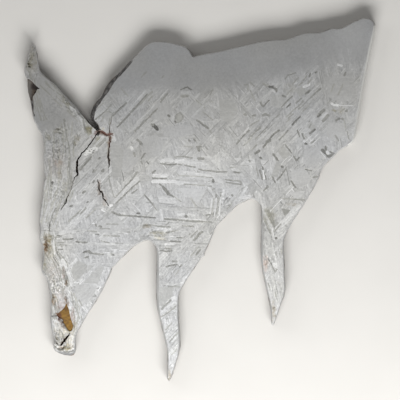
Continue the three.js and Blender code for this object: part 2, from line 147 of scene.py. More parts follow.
# Marks on the etched face: tone, width, then the path. A tone of -0.3 is about a third darker than
# the metal round it, and 0.3 about a third brighter.
MARKS = [
    # Hump: long dark laths that rise to the right
    (-0.26, 1.0, (95.3, 119.6), (105.5, 111), (111.2, 104.4)),
    (-0.3, 1.2, (112.5, 116), (119.3, 109.4), (126.4, 102.8)),
    (-0.3, 1.2, (117.4, 127), (128, 115.7), (137.1, 105.5), (147.3, 94.3)),
    (-0.24, 1.2, (134.8, 131), (145.3, 120.8), (151.4, 114.6), (157.5, 108.4)),
    (-0.3, 1.2, (160.6, 102.2), (164.7, 96.8), (167.8, 93.3)),
    (0.14, 1.5, (117.5, 121.5), (130, 109.5), (145.5, 90.5)),
    (0.16, 0.9, (137.6, 122), (150, 110), (158.6, 99.6), (168, 89)),
    (-0.12, 1.2, (140, 104.6), (146, 97.6), (152.4, 91.4)),
    (-0.16, 0.9, (148.4, 101), (152.6, 95.8)),
    (-0.1, 0.9, (98, 101.6), (101.6, 98.2)),
    (0.12, 1.6, (104, 119.6), (107.6, 124.6)),
    (-0.14, 1.1, (103.4, 116.6), (101.8, 121.4)),
    (-0.24, 1.3, (110.2, 118.4), (109.2, 124.6)),
    (-0.1, 0.8, (105.6, 111.4), (109.8, 111.8), (112, 114.6), (111.6, 118.8)),
    (-0.08, 0.8, (121, 88.2), (128.2, 96.3)),
    (-0.08, 0.9, (141.4, 77), (146.5, 71.8)),
    (-0.1, 1.0, (161.8, 78), (163.9, 75.8)),
    (-0.16, 0.9, (111, 112.8), (108.4, 111.4), (105.4, 112.6)),
    (-0.12, 0.9, (98, 108), (104, 102.6)),
    # Upper middle
    (-0.62, 2.4, (152.8, 125), (155, 126.6), (157.6, 129.6)),
    (-0.42, 1.6, (168, 115.2), (169.7, 116.4)),
    (-0.4, 1.4, (174.8, 121.2), (176, 122.4)),
    (-0.16, 1.0, (175, 120), (176.6, 114.6), (180, 112.4)),
    (-0.22, 1.0, (180, 112.4), (182.8, 115.6), (183.2, 118)),
    (-0.14, 1.0, (183.2, 118), (180.4, 121.6), (177, 122.4)),
    (-0.32, 0.9, (180.5, 89.8), (184, 88.4), (187.2, 87), (191.2, 90)),
    (0.12, 2.2, (182.2, 92.4), (190, 92.6)),
    (-0.12, 1.8, (181.4, 96.4), (188, 96)),
    (-0.36, 1.5, (196.6, 120.2), (200.4, 122.3), (204, 125.4), (208.6, 128.4)),
    (-0.2, 0.8, (209.8, 130.2), (211.4, 133.6), (214, 135.6)),
    (0.16, 1.0, (210.4, 136.4), (217, 129.6)),
    (-0.22, 1.7, (137, 139.6), (139.6, 141.4), (141, 144)),
    (-0.24, 1.4, (151.4, 124), (153.4, 125.4)),
    (-0.2, 1.6, (134.4, 130.6), (135.4, 132)),
    (-0.12, 1.4, (100, 144.6), (106, 139.8)),
    (-0.2, 1.8, (101, 146), (102.4, 144.6)),
    (0.2, 2.4, (112.4, 134), (114.6, 140.6)),
    (-0.9, 1.8, (99.4, 129.2), (98.8, 132.4), (97.4, 134.8)),
    (-0.2, 1.4, (133.8, 152.6), (135.2, 156.6)),
    (-0.3, 1.0, (145.4, 153.2), (143.4, 155.4), (141.2, 158.8)),
    (-0.2, 1.3, (141, 161.6), (142.4, 164)),
    (-0.34, 1.5, (188.6, 139.8), (190, 141)),
    (-0.3, 1.2, (193.8, 139), (195.8, 140.8)),
    (-0.1, 0.8, (184, 146.2), (192.4, 147.2)),
    (-0.28, 1.2, (196.6, 146.8), (201.4, 146.8)),
    (-0.3, 1.8, (198.2, 147.4), (199.2, 150.8)),
    (-0.34, 1.8, (197.8, 158.4), (203.6, 158.6)),
    (0.2, 1.4, (182.6, 141.4), (184.2, 143.2)),
    (0.16, 2.0, (131, 147), (132.4, 149.8)),
    (-0.16, 0.9, (210, 95), (213, 89)),
    (-0.1, 0.8, (196, 100), (205, 108)),
    (-0.1, 0.8, (203, 112), (213, 120)),
    (0.12, 1.6, (192, 117), (203, 106)),
    (0.1, 1.8, (209, 103), (216, 108)),
    # Level lines across the middle, and the bright plates between them
    (0.2, 2.6, (161.4, 161.4), (166, 160), (172.8, 160.4)),
    (0.26, 2.6, (175.6, 161.2), (183.6, 160.6)),
    (0.1, 2.4, (184.6, 161.6), (206, 164)),
    (-0.3, 1.1, (160.4, 163.6), (167.8, 164.6), (176.2, 164.3)),
    (-0.26, 0.9, (177.8, 164.4), (182.2, 164.8)),
    (-0.26, 1.0, (184.6, 165.2), (192.2, 166.8), (195.4, 167.2)),
    (-0.26, 1.1, (198.6, 169), (203.5, 170.2), (211.6, 170.9), (217.8, 171.8), (227, 171.8)),
    (-0.3, 1.1, (233.8, 172), (239.8, 172.8)),
    (-0.24, 1.0, (174.2, 157), (183, 156.4), (192.4, 158)),
    (-0.3, 1.1, (152.2, 173), (155.6, 170.6)),
    (0.2, 2.6, (153.2, 176), (166.8, 175.6)),
    (-0.32, 0.9, (152.2, 178), (160, 178.3), (167, 178.6)),
    (0.25, 2.2, (152.2, 181.6), (158, 181.2), (166.8, 181.8)),
    (0.22, 2.2, (168.4, 181.4), (175.4, 182)),
    (0.1, 2.4, (176, 182.4), (196, 183.4)),
    (-0.1, 0.7, (178, 175.4), (197, 176.4), (212.6, 177.6)),
    (-0.16, 0.9, (184, 184), (205, 185.4)),
    (-0.4, 1.8, (213, 179.4), (213.4, 182)),
    (-0.26, 1.0, (225.4, 179.6), (233, 180.4), (240.6, 181.2)),
    (-0.24, 1.0, (226, 182.2), (234, 183.4), (241, 184.6)),
    (-0.26, 1.0, (240.6, 181.2), (241.6, 184.4)),
    (-0.12, 0.8, (229, 168), (236, 166.8)),
    # Middle, below the level lines
    (-0.3, 1.0, (159.6, 184), (164, 188)),
    (-0.34, 2.2, (163, 187), (166, 190.4), (168.8, 194.4)),
    (-0.34, 1.2, (168.8, 194.4), (173.8, 196.6)),
    (-0.12, 0.8, (173.8, 196), (181, 201.6)),
    (-0.26, 1.1, (144.2, 194.6), (149.4, 200.4), (153.4, 205.4)),
    (-0.12, 0.8, (153.4, 205.4), (157, 210.4)),
    (-0.12, 0.9, (190.8, 198), (196.4, 207.2)),
    (-0.3, 1.1, (216, 194.6), (216.4, 200.6)),
    (-0.2, 1.0, (212.6, 190.2), (214.4, 188.4)),
    (-0.3, 1.3, (206.4, 215.2), (212, 214.2)),
    (-0.36, 1.6, (212, 214.2), (215.4, 213.4)),
    (-0.44, 1.5, (185.2, 216.4), (187.4, 216.2)),
    # These two bright marks are painted highlights.
    (0.2, 1.8, (178.6, 214.6), (184, 214)),
    (0.13, 1.8, (187.8, 214.8), (194, 215.6)),
    (-0.36, 1.4, (137, 213), (139.6, 213.4)),
    (-0.26, 1.6, (112.2, 212), (116, 214), (120.8, 215.2)),
    (-0.28, 1.2, (120.8, 215.2), (136.1, 216.2), (155.6, 217.8)),
    (-0.26, 1.2, (161.4, 218.7), (178, 219.8), (192.2, 221.2), (203, 221.7)),
    (-0.14, 0.8, (203, 221.7), (211.6, 222)),
    (0.12, 2.0, (160.4, 210), (162.4, 219.6)),
    (-0.2, 1.0, (143.2, 225.2), (151.4, 224.9), (157.6, 226.3), (170.6, 227)),
    (-0.24, 1.0, (182.2, 225.8), (193.4, 226.4)),
    (0.14, 1.8, (157, 229), (171, 229.6)),
    (-0.14, 0.8, (172, 231), (178, 230.6)),
    # The big V at the left of the middle
    (-0.16, 0.9, (108.8, 176), (111, 186), (114.4, 197)),
    (0.1, 2.4, (111, 178), (113.4, 188), (116.4, 196)),
    (-0.22, 1.0, (115.4, 197.4), (123.9, 188.4), (133, 178.4), (137.4, 171.8)),
    (0.14, 3.2, (114.8, 202), (124, 193), (137.6, 178.6)),
    (-0.24, 1.0, (115.8, 203.4), (123.9, 195.4), (131.6, 188), (140, 181)),
    (-0.18, 1.0, (131.8, 193.4), (137.4, 189.4)),
    # These two bright marks are painted highlights.
    (0.3, 1.5, (108.8, 206.6), (112.2, 205)),
    (0.26, 1.4, (101.6, 209.6), (104.4, 211.4)),
    # Left of the middle
    (-0.34, 1.1, (80, 170), (85.3, 163.8), (91.6, 156.8)),
    (-0.36, 1.5, (93, 172), (94.6, 170.2)),
    (-0.3, 1.5, (101.8, 171.4), (103.4, 169.4)),
    (-0.3, 1.3, (98.4, 159), (100, 157.6)),
    (-0.22, 1.2, (82.4, 193), (85.6, 191)),
    (-0.24, 1.2, (93, 182.6), (94.2, 180.6)),
    (-0.16, 1.0, (93.6, 172.4), (96.4, 169.8)),
    (0.3, 2.8, (85.2, 154.4), (90.6, 150.4), (96.8, 148.6)),
    (0.16, 2.2, (98.4, 141.2), (103.4, 136.6)),
    (-0.16, 0.9, (99.6, 143.6), (105.4, 138)),
    (-0.2, 0.9, (97, 146), (102.4, 141.2)),
    (-0.3, 1.4, (99.4, 146), (101.4, 144.2)),
    (-0.2, 1.1, (80, 214), (86, 208)),
    (-0.16, 1.0, (86, 218), (96, 208.6)),
    (-0.16, 1.0, (68, 222), (80, 210.8)),
    # Lower left: level dashes
    (-0.34, 1.1, (63.4, 239.4), (73.2, 238.8)),
    (-0.28, 1.0, (75.8, 241.8), (87.4, 242.4)),
    (-0.3, 1.0, (57.2, 235.8), (62, 235.6)),
    (0.12, 2.8, (60, 233.6), (68, 231), (73, 231.6)),
    (-0.3, 1.4, (76.6, 241.4), (79, 242.4)),
    (-0.3, 1.3, (82.6, 242.8), (86, 242.4)),
    (-0.26, 1.4, (95.4, 224.4), (96.4, 226)),
    (-0.3, 1.4, (98.8, 226.2), (101.6, 226.8)),
    (-0.16, 0.9, (87.6, 230.6), (96.6, 231.6)),
    (-0.16, 0.8, (100, 228.2), (110, 229)),
    (-0.14, 0.8, (106, 223.8), (118, 224.2)),
    (-0.16, 0.9, (103.4, 235.6), (119.8, 236.2)),
    (-0.16, 0.9, (101, 241), (109.4, 242.8)),
    (-0.28, 1.0, (56.6, 249.6), (63, 249.2)),
    (-0.34, 1.7, (83.4, 252.6), (88.2, 251), (91.4, 253.2)),
    (-0.28, 1.3, (91.4, 253.2), (97, 254), (104, 254.1)),
    (-0.32, 1.3, (85, 257.8), (88.4, 256.6)),
    (-0.18, 1.2, (111, 254), (114, 255)),
    (-0.2, 1.0, (62, 257.6), (63.8, 257)),
    # Above the first bay and on the long prong
    (-0.34, 1.1, (170.4, 241.2), (181, 241.8)),
    (-0.24, 1.0, (176.6, 237.6), (182.6, 237.8)),
    (-0.18, 1.0, (166, 232.6), (174.6, 231.4)),
    (0.18, 1.8, (165, 244.2), (175, 243.4)),
    (-0.26, 1.1, (160.2, 250.2), (166.5, 251.5), (172, 250.2)),
    (-0.22, 1.2, (165.6, 248.2), (171, 248.8)),
    (-0.24, 1.2, (166.2, 266.8), (170.6, 265.6), (177, 264.4)),
    (-0.24, 1.2, (172.4, 261.2), (177, 261.6)),
    (-0.3, 1.2, (179.4, 267), (182, 264.8)),
    (-0.26, 1.6, (194, 240.4), (200.2, 233), (202.6, 231.8)),
    (-0.16, 1.0, (190.8, 237.4), (197.4, 230.6)),
    (-0.26, 1.1, (196, 254.8), (200.4, 249.2)),
    (-0.14, 0.9, (191, 256), (198.4, 247)),
    (-0.14, 0.9, (175.4, 275), (179, 269.6)),
    (-0.14, 0.9, (168.6, 287.2), (174, 286.4), (180, 286.8)),
    (-0.24, 1.0, (161.2, 316.8), (167.6, 313), (175.9, 306.2)),
    (0.16, 4.4, (162.6, 310.4), (169, 304.6), (175.4, 298.4)),
    (-0.2, 1.2, (161.6, 309.4), (164.4, 306), (171, 300.2)),
    (-0.24, 1.0, (169.6, 342), (174, 336.4), (179.4, 331.4)),
    (-0.14, 0.9, (165.6, 330), (172, 322.6)),
    (-0.12, 0.9, (171.6, 355), (177, 349)),
    # Right of the middle: many laths that rise to the right
    (-0.12, 1.4, (262.8, 83.4), (269, 86.7)),
    (-0.46, 1.8, (269, 86.7), (273, 87.2), (276.8, 89.8)),
    (-0.36, 1.4, (276.8, 89.8), (276.2, 91.8)),
    (0.14, 1.2, (272.4, 90.4), (275, 92.6)),
    (-0.4, 1.2, (263.2, 106.6), (265.8, 103.6), (269.2, 100.2)),
    (-0.3, 1.3, (260.2, 102.4), (262.6, 106.4)),
    (-0.12, 0.8, (250.4, 90.4), (252.7, 95.7), (255.4, 101)),
    (-0.14, 0.8, (244.4, 85), (248.8, 84.4), (247.4, 89.8)),
    (-0.1, 0.8, (250, 82), (254.4, 86.4)),
    (0.1, 1.4, (249.4, 84.4), (252.6, 91)),
    (-0.24, 0.9, (285.2, 79), (287.9, 75.2), (295.6, 72.8)),
    (-0.34, 1.1, (309.2, 76.6), (310.4, 73.2)),
    (-0.36, 1.4, (315.2, 72.8), (316.8, 71.8)),
    (-0.3, 1.3, (344.2, 75.6), (345.8, 72.2)),
    # A small painted highlight.
    (0.36, 1.4, (337.4, 64.8), (342.2, 65.6)),
    (0.42, 2.0, (303.4, 87), (306, 86.2), (309.4, 84.4)),
    (0.16, 1.2, (294.6, 84), (297, 82.4)),
    (-0.14, 0.9, (303.4, 80.6), (306.8, 76)),
    (-0.14, 0.9, (307.8, 84), (311.4, 79.2)),
    (-0.14, 0.9, (298.6, 85.6), (302.8, 82.2)),
    (-0.3, 1.0, (281.6, 107), (287.3, 100.8), (292.6, 96)),
    (-0.32, 1.1, (286.6, 107.6), (290.6, 103.7)),
    (-0.3, 0.9, (294.3, 109.7), (300.6, 103.9), (303, 100.6)),
    (-0.24, 0.9, (295.8, 103.1), (301.8, 98)),
    (-0.3, 1.6, (305.4, 94), (310, 90.4)),
    (-0.3, 1.1, (310.6, 98), (316.9, 91.6), (320.8, 88.4)),
    (-0.22, 0.9, (298.4, 109.2), (304, 104.6)),
    (-0.18, 0.9, (290, 113.4), (294.6, 108.8)),
    (-0.3, 1.4, (282.4, 95.6), (285.6, 96.8)),
    (-0.16, 0.9, (303, 111), (309, 105.4)),
    (-0.16, 0.9, (288, 118), (293.4, 113.6)),
    (-0.32, 1.7, (262.6, 115.8), (265, 114), (269.8, 115.6)),
    (-0.28, 1.5, (244, 114.4), (246.2, 114.9)),
    (-0.24, 1.4, (252.4, 115.6), (255.6, 115.5)),
    (-0.44, 1.3, (292.2, 125), (296.5, 120.2), (300.3, 116.4)),
    (-0.36, 1.2, (269.8, 138.8), (274.1, 133.5), (279.4, 130.2)),
    (-0.36, 1.3, (263.2, 147.4), (267.8, 141.8)),
    (-0.34, 2.0, (266.6, 142), (270.4, 140)),
    (-0.32, 1.0, (240.6, 138.9), (246.5, 132.4), (249.2, 130.2)),
    (0.32, 1.2, (243.6, 133.4), (248.8, 127.6)),
    (-0.2, 0.8, (248, 139.6), (254.7, 132.4), (261, 128.2)),
    (-0.26, 0.9, (255.5, 138.8), (262.9, 131.4), (267.2, 127.2)),
    (-0.24, 0.9, (255.5, 131.6), (261, 126.6)),
    (-0.2, 0.8, (250.4, 125.5), (259.5, 120)),
    (-0.16, 0.9, (251.4, 150), (257, 144.4)),
    (-0.22, 1.1, (236.6, 143.9), (239.6, 140.4)),
    (-0.26, 1.0, (279, 139.8), (283.3, 135.5), (288.1, 130.2)),
    (0.1, 1.6, (258, 141), (270, 129.4)),
    (-0.14, 0.8, (243, 146), (252, 138)),
    (-0.24, 0.9, (285.2, 144.6), (291.6, 153)),
    (-0.28, 1.3, (272.9, 153.7), (278.4, 160.7)),
    (-0.3, 1.1, (297.5, 130.2), (299.7, 136.7)),
    (-0.34, 1.2, (302, 133.3), (304.3, 138.8)),
    (-0.36, 1.4, (309.6, 133.7), (315.1, 129.2)),
    (-0.24, 1.3, (311.6, 142.9), (315.2, 140.4)),
    (-0.34, 1.6, (305, 143.4), (306.6, 144.2)),
    (0.22, 1.4, (303.6, 141), (305, 141.8)),
    (-0.34, 1.3, (293.8, 156.2), (296.5, 160.6)),
    (-0.3, 1.3, (296.5, 160.6), (299.3, 157.3)),
    (-0.38, 1.9, (255, 153.6), (259.5, 150.6)),
    (-0.34, 1.5, (260, 157.6), (261.6, 158.4)),
    (-0.28, 1.3, (249.2, 160.4), (250, 161.8)),
    (-0.2, 0.8, (309, 128), (311, 124)),
    # Right: a painted highlight along the sawn end, where the rounded edge of the face catches the
    # light
    (0.05, 5.0, (372.4, 34), (367.2, 62), (361, 96), (357.2, 118)),
    (0.09, 3.0, (373.2, 34), (368.2, 62), (362, 96), (358.2, 118)),
    (0.15, 1.4, (374.4, 36), (369.4, 62), (363, 96), (359.2, 118)),
    # Right: blocky marks, the ring by the shoulder and the bright flecks
    (-0.32, 2.1, (317.8, 116.4), (321, 112.6), (324.3, 109.8)),
    (0.14, 2.0, (320.6, 118.8), (326.8, 112.8)),
    (-0.2, 1.9, (322.8, 121.4), (328.4, 114.9)),
    (-0.3, 1.5, (325.6, 146.4), (325.8, 150.2)),
    (-0.38, 1.9, (321.8, 149.6), (325.6, 152.9), (328.3, 156.6)),
    (-0.34, 1.9, (328.3, 156.6), (334, 153.9)),
    (-0.3, 1.4, (334, 153.9), (330, 151.6)),
    (0.24, 1.8, (326.6, 151.6), (328.6, 153.4)),
    (-0.36, 1.4, (336.2, 120.3), (339.5, 118)),
    (-0.34, 1.5, (341.7, 118.5), (343.2, 119)),
    (-0.3, 1.5, (345.8, 111.4), (347.2, 110.6)),
    (-0.16, 0.9, (340, 112.6), (344.6, 108.4)),
    (-0.22, 1.1, (335.2, 135.3), (338.6, 140.8)),
    (-0.2, 0.9, (347, 131.2), (349, 139.2)),
    (0.44, 1.5, (331, 103.6), (334, 104.8), (338.6, 105.4)),
    (0.2, 1.0, (338.6, 105.4), (352.4, 105.6)),
    (-0.14, 0.9, (338, 95), (343, 84)),
    (-0.12, 0.9, (331, 92), (334, 84)),
    (-0.12, 0.9, (345.6, 128), (344, 119)),
    # Steep laths beside the far bay
    (-0.28, 1.2, (262.3, 166.9), (264.4, 173), (266, 179.6)),
    (-0.26, 1.0, (259.7, 170), (262.4, 179.6)),
    (0.34, 1.1, (263, 170.6), (264.4, 179)),
    (-0.14, 0.8, (256.4, 168), (258.4, 176.6)),
    (-0.3, 1.1, (277, 180.1), (281.2, 175.3), (286, 168.5)),
    (-0.4, 1.8, (281.6, 166.4), (283, 167)),
    (-0.34, 1.4, (272.5, 177), (275.2, 182.6)),
    (-0.28, 1.5, (291.3, 181.2), (295.7, 187.7)),
    (-0.34, 1.4, (263.7, 190.8), (268.2, 186.3)),
    (-0.3, 1.3, (231.6, 194.8), (232.9, 195.8)),
    (-0.16, 0.9, (282, 198.2), (293, 199.2), (305, 199.9)),
    (-0.28, 1.1, (305.4, 169.2), (311.8, 170.8)),
    (-0.2, 1.0, (312.8, 177.4), (318, 176.4)),
    (-0.16, 0.9, (221, 192), (220, 203)),
    (0.12, 1.6, (223.6, 190), (222.6, 206)),
    (0.12, 1.6, (238, 201), (247, 187)),
    (-0.12, 0.9, (227, 209), (231.4, 203.6)),
    (0.14, 2.2, (240, 198), (250, 196.4)),
    (-0.16, 1.2, (315.9, 176.8), (320, 177.3)),
    (0.16, 0.9, (212, 199), (210, 214)),
    (0.16, 0.9, (216.5, 198), (214.5, 216)),
    (0.16, 0.9, (221, 197), (219, 214)),
    (-0.12, 0.9, (214, 198), (212, 216)),
    (-0.12, 0.9, (218.6, 197), (216.6, 214)),
    (-0.18, 0.9, (276, 117.6), (280, 114)),
    (-0.18, 0.9, (286, 117), (291, 113.6)),
    (-0.18, 0.9, (286.5, 122), (290.6, 118)),
    (0.14, 0.8, (306, 141), (312, 135)),
    (0.14, 0.8, (309, 143), (318, 134)),
    (0.14, 0.8, (312, 144.6), (320, 137)),
    (-0.14, 0.9, (292.5, 83.8), (298.8, 77.5)),
    # Short prong
    (-0.14, 1.5, (262.4, 214.6), (267, 224.9), (270.8, 233.4)),
    (-0.16, 2.0, (268, 210.5), (272.7, 220.8), (275.7, 229.2)),
    (-0.2, 1.2, (275.7, 229.2), (277.4, 222.6)),
    (0.07, 1.8, (264.8, 213), (271.6, 228)),
    (0.14, 4.6, (277, 229.4), (287, 219), (299, 206)),
    (-0.14, 0.9, (274, 232), (281, 224)),
    (-0.34, 1.4, (275.5, 238.2), (276.9, 238.2)),
    (-0.22, 1.0, (268.5, 259.4), (272.7, 266.7), (275.1, 272)),
    (-0.26, 1.0, (275.1, 272), (277.2, 269.2)),
    (0.2, 2.0, (273.4, 263.4), (276, 267)),
    (-0.2, 1.0, (275.6, 292), (275.8, 296.6)),
    (0.2, 1.6, (275.1, 311.6), (274.6, 314.4)),
    (-0.14, 0.9, (268, 283), (270.4, 290)),
    (-0.12, 1.0, (281, 249), (282, 254)),
    # Horn
    (0.2, 2.2, (70.8, 106.2), (74, 109.4)),
    (0.22, 1.7, (75.4, 110.4), (78, 112.6)),
    (-0.36, 0.9, (69.4, 104.4), (72.6, 105), (76, 108.6)),
    (-0.36, 0.9, (70, 108), (73.6, 111.6)),
    (-0.3, 1.0, (63, 95.4), (66, 99.6), (67.4, 103.2)),
    (-0.28, 0.9, (65.6, 96.6), (69, 100.6)),
    (0.18, 1.3, (66.6, 100.4), (69.6, 103.6)),
    (0.16, 0.8, (41, 72.6), (50, 79.4), (57, 85.6), (62, 90.8)),
    (-0.16, 0.8, (50, 82), (56, 87), (61, 92.6)),
    (0.14, 0.8, (37, 60), (39, 68), (41, 72.6)),
    (-0.6, 1.3, (33, 112), (34.4, 116)),
    (-0.4, 1.2, (26.4, 60.6), (28.6, 61.6)),
    (-0.45, 1.4, (27, 63.4), (30, 64.6)),
    (-0.4, 1.2, (28.4, 66.4), (30.6, 67)),
    (-0.3, 1.0, (25.8, 64.6), (26.6, 67)),
    (-0.3, 1.0, (29.6, 59), (31.2, 60.2)),
    (-0.2, 1.0, (33, 53), (34, 56)),
    (0.14, 2.0, (25.8, 70.5), (28, 74)),
    (0.12, 2.0, (32, 70), (35, 76)),
    (-0.26, 1.2, (56.4, 129.2), (60.4, 128.6)),
    (-0.26, 1.3, (58, 132.4), (62.4, 133.4)),
    (-0.2, 0.9, (45, 134), (46.2, 137.8), (48.8, 138), (49.6, 135.2)),
    (-0.34, 1.2, (66, 129.4), (66, 131)),
    (-0.3, 1.2, (66.2, 133), (66.4, 135)),
    (-0.46, 1.6, (73.4, 141), (74, 143.6), (75.4, 145.4)),
    (-0.26, 0.9, (69, 145), (69.4, 156), (69, 167)),
    (-0.16, 0.8, (65.6, 145), (65.8, 156)),
    (-0.18, 1.3, (53, 141.6), (55.6, 143.6)),
    (-0.4, 1.4, (51.2, 186), (52.6, 181.6)),
    (-0.4, 1.8, (62.2, 191), (63.6, 193.6)),
    (-0.24, 1.9, (70.4, 176), (71.6, 182), (70.2, 189)),
    (-0.36, 1.0, (66.4, 199.4), (64.4, 203.4)),
    (-0.3, 1.2, (83, 192), (84.8, 191.2)),
    (-0.3, 1.2, (87, 202.6), (88.2, 201.4)),
    (-0.3, 1.4, (70, 206.4), (72.2, 205.6)),
    (-0.4, 0.7, (86.6, 149.2), (87.6, 149.2)),
    (-0.4, 0.7, (89, 151.2), (90, 151)),
    (-0.4, 0.7, (91, 149.6), (92, 149.4)),
    (-0.4, 0.7, (93.4, 150.8), (94.4, 150.4)),
    (-0.14, 0.8, (93, 144.6), (100, 137.6)),
    (0.16, 0.9, (94.6, 146), (101.6, 139)),
    (-0.14, 0.8, (96.4, 147), (103, 140.6)),
    (0.16, 0.9, (99.4, 148), (105.4, 141.8)),
    (-0.16, 0.8, (68, 141), (70, 157.6), (69.6, 173), (68, 190)),
    (-0.14, 0.9, (64, 122), (67, 138), (68, 141)),
    (-0.24, 1.4, (74.1, 140.8), (74.7, 145.6)),
    (-0.2, 1.2, (48, 136.4), (49.4, 134.8)),
    (-0.16, 0.9, (45.6, 132), (48.6, 138)),
    (-0.2, 1.3, (64, 119), (65, 121.4)),
    (-0.18, 1.2, (54, 142), (56, 143)),
    (-0.24, 0.9, (64, 96.4), (71, 105.6), (77, 111.8), (84, 119)),
    (0.24, 2.2, (70.4, 107.4), (75.4, 112)),
    (0.16, 1.6, (79.6, 117.4), (84.4, 122.6)),
    (-0.3, 1.1, (83.2, 120), (84, 124.6), (85.4, 130)),
    (-0.3, 1.2, (86.2, 128.4), (87, 132.6)),
    (-0.34, 1.2, (91.4, 127), (91.2, 132.4)),
    (0.22, 2.8, (93.8, 129), (94.6, 132.4)),
    (-0.16, 1.0, (57, 150), (58.6, 160)),
    (-0.14, 0.9, (60.6, 166), (61, 180)),
    (-0.16, 1.0, (51, 184), (52.6, 187)),
    (-0.14, 0.9, (63, 190), (60, 203)),
    (-0.16, 1.0, (77, 134), (79, 141)),
    # Cheek and muzzle: curved flow lines
    (-0.36, 1.1, (52.4, 217.8), (50, 221.4), (49.4, 226.6), (49.2, 231)),
    (-0.2, 0.9, (56, 208), (52.6, 214), (50.6, 221)),
    (-0.3, 1.2, (54.6, 244), (57.4, 254), (63.7, 263.3), (66, 271.6), (67.4, 282)),
    (-0.22, 1.0, (53.2, 257), (58.6, 265), (60.6, 273.5), (59.6, 281.6)),
    (-0.2, 0.9, (58.4, 252), (66.6, 262), (69, 272)),
    (0.13, 2.2, (62.4, 259.6), (66.4, 268), (70.2, 278), (72, 286)),
    (0.1, 1.2, (53.6, 240), (54.6, 254)),
    (-0.3, 0.9, (62.6, 267), (64.6, 275), (65.8, 281)),
    (-0.3, 1.5, (66, 281.4), (67.4, 286)),
    (0.13, 1.8, (67, 270.4), (72, 264.4), (77, 259)),
    (0.05, 2.4, (80.4, 283.6), (90.4, 272), (97, 265)),
    (-0.18, 0.7, (56, 242.6), (64, 242.4)),
    (-0.18, 0.7, (57, 245.4), (64, 245)),
    (-0.4, 1.0, (57.4, 350.4), (63, 352.2), (70, 351.8), (75.6, 350)),
    (-0.3, 1.6, (58, 348.4), (61, 349.4), (65.6, 347.6)),
    (-0.3, 1.4, (55, 341), (57, 343.4), (58.4, 345.4)),
    (-0.24, 1.4, (56, 338), (58.8, 340)),
    (-0.3, 1.0, (54, 345.4), (56, 347.4)),
    # Painted highlights beside the dark line of the muzzle.
    (0.3, 0.8, (64, 350), (71, 349.6), (75, 348.4)),
    (0.26, 1.6, (57, 346.4), (59.4, 347.4)),
    (-0.36, 1.6, (44.2, 275), (46.4, 277)),
    (-0.34, 1.4, (50.6, 291.8), (53.2, 297), (51.6, 303)),
    (-0.2, 1.0, (62, 288), (63.4, 296)),
    (-0.16, 1.0, (71, 292), (74, 306)),
    (-0.14, 1.0, (79, 300), (82, 306)),
    (-0.3, 1.0, (66.2, 296.6), (66.3, 302.6)),
    (-0.4, 1.2, (51.2, 316.6), (57, 315.6)),
    (-0.3, 1.2, (59, 318), (64, 324), (68, 330.4)),
    (0.16, 3.0, (56, 321), (60.4, 327), (65.4, 332.6)),
    (0.12, 2.6, (54.8, 323), (57.4, 331)),
    (0.1, 3.0, (71.6, 336.4), (71, 345)),
]

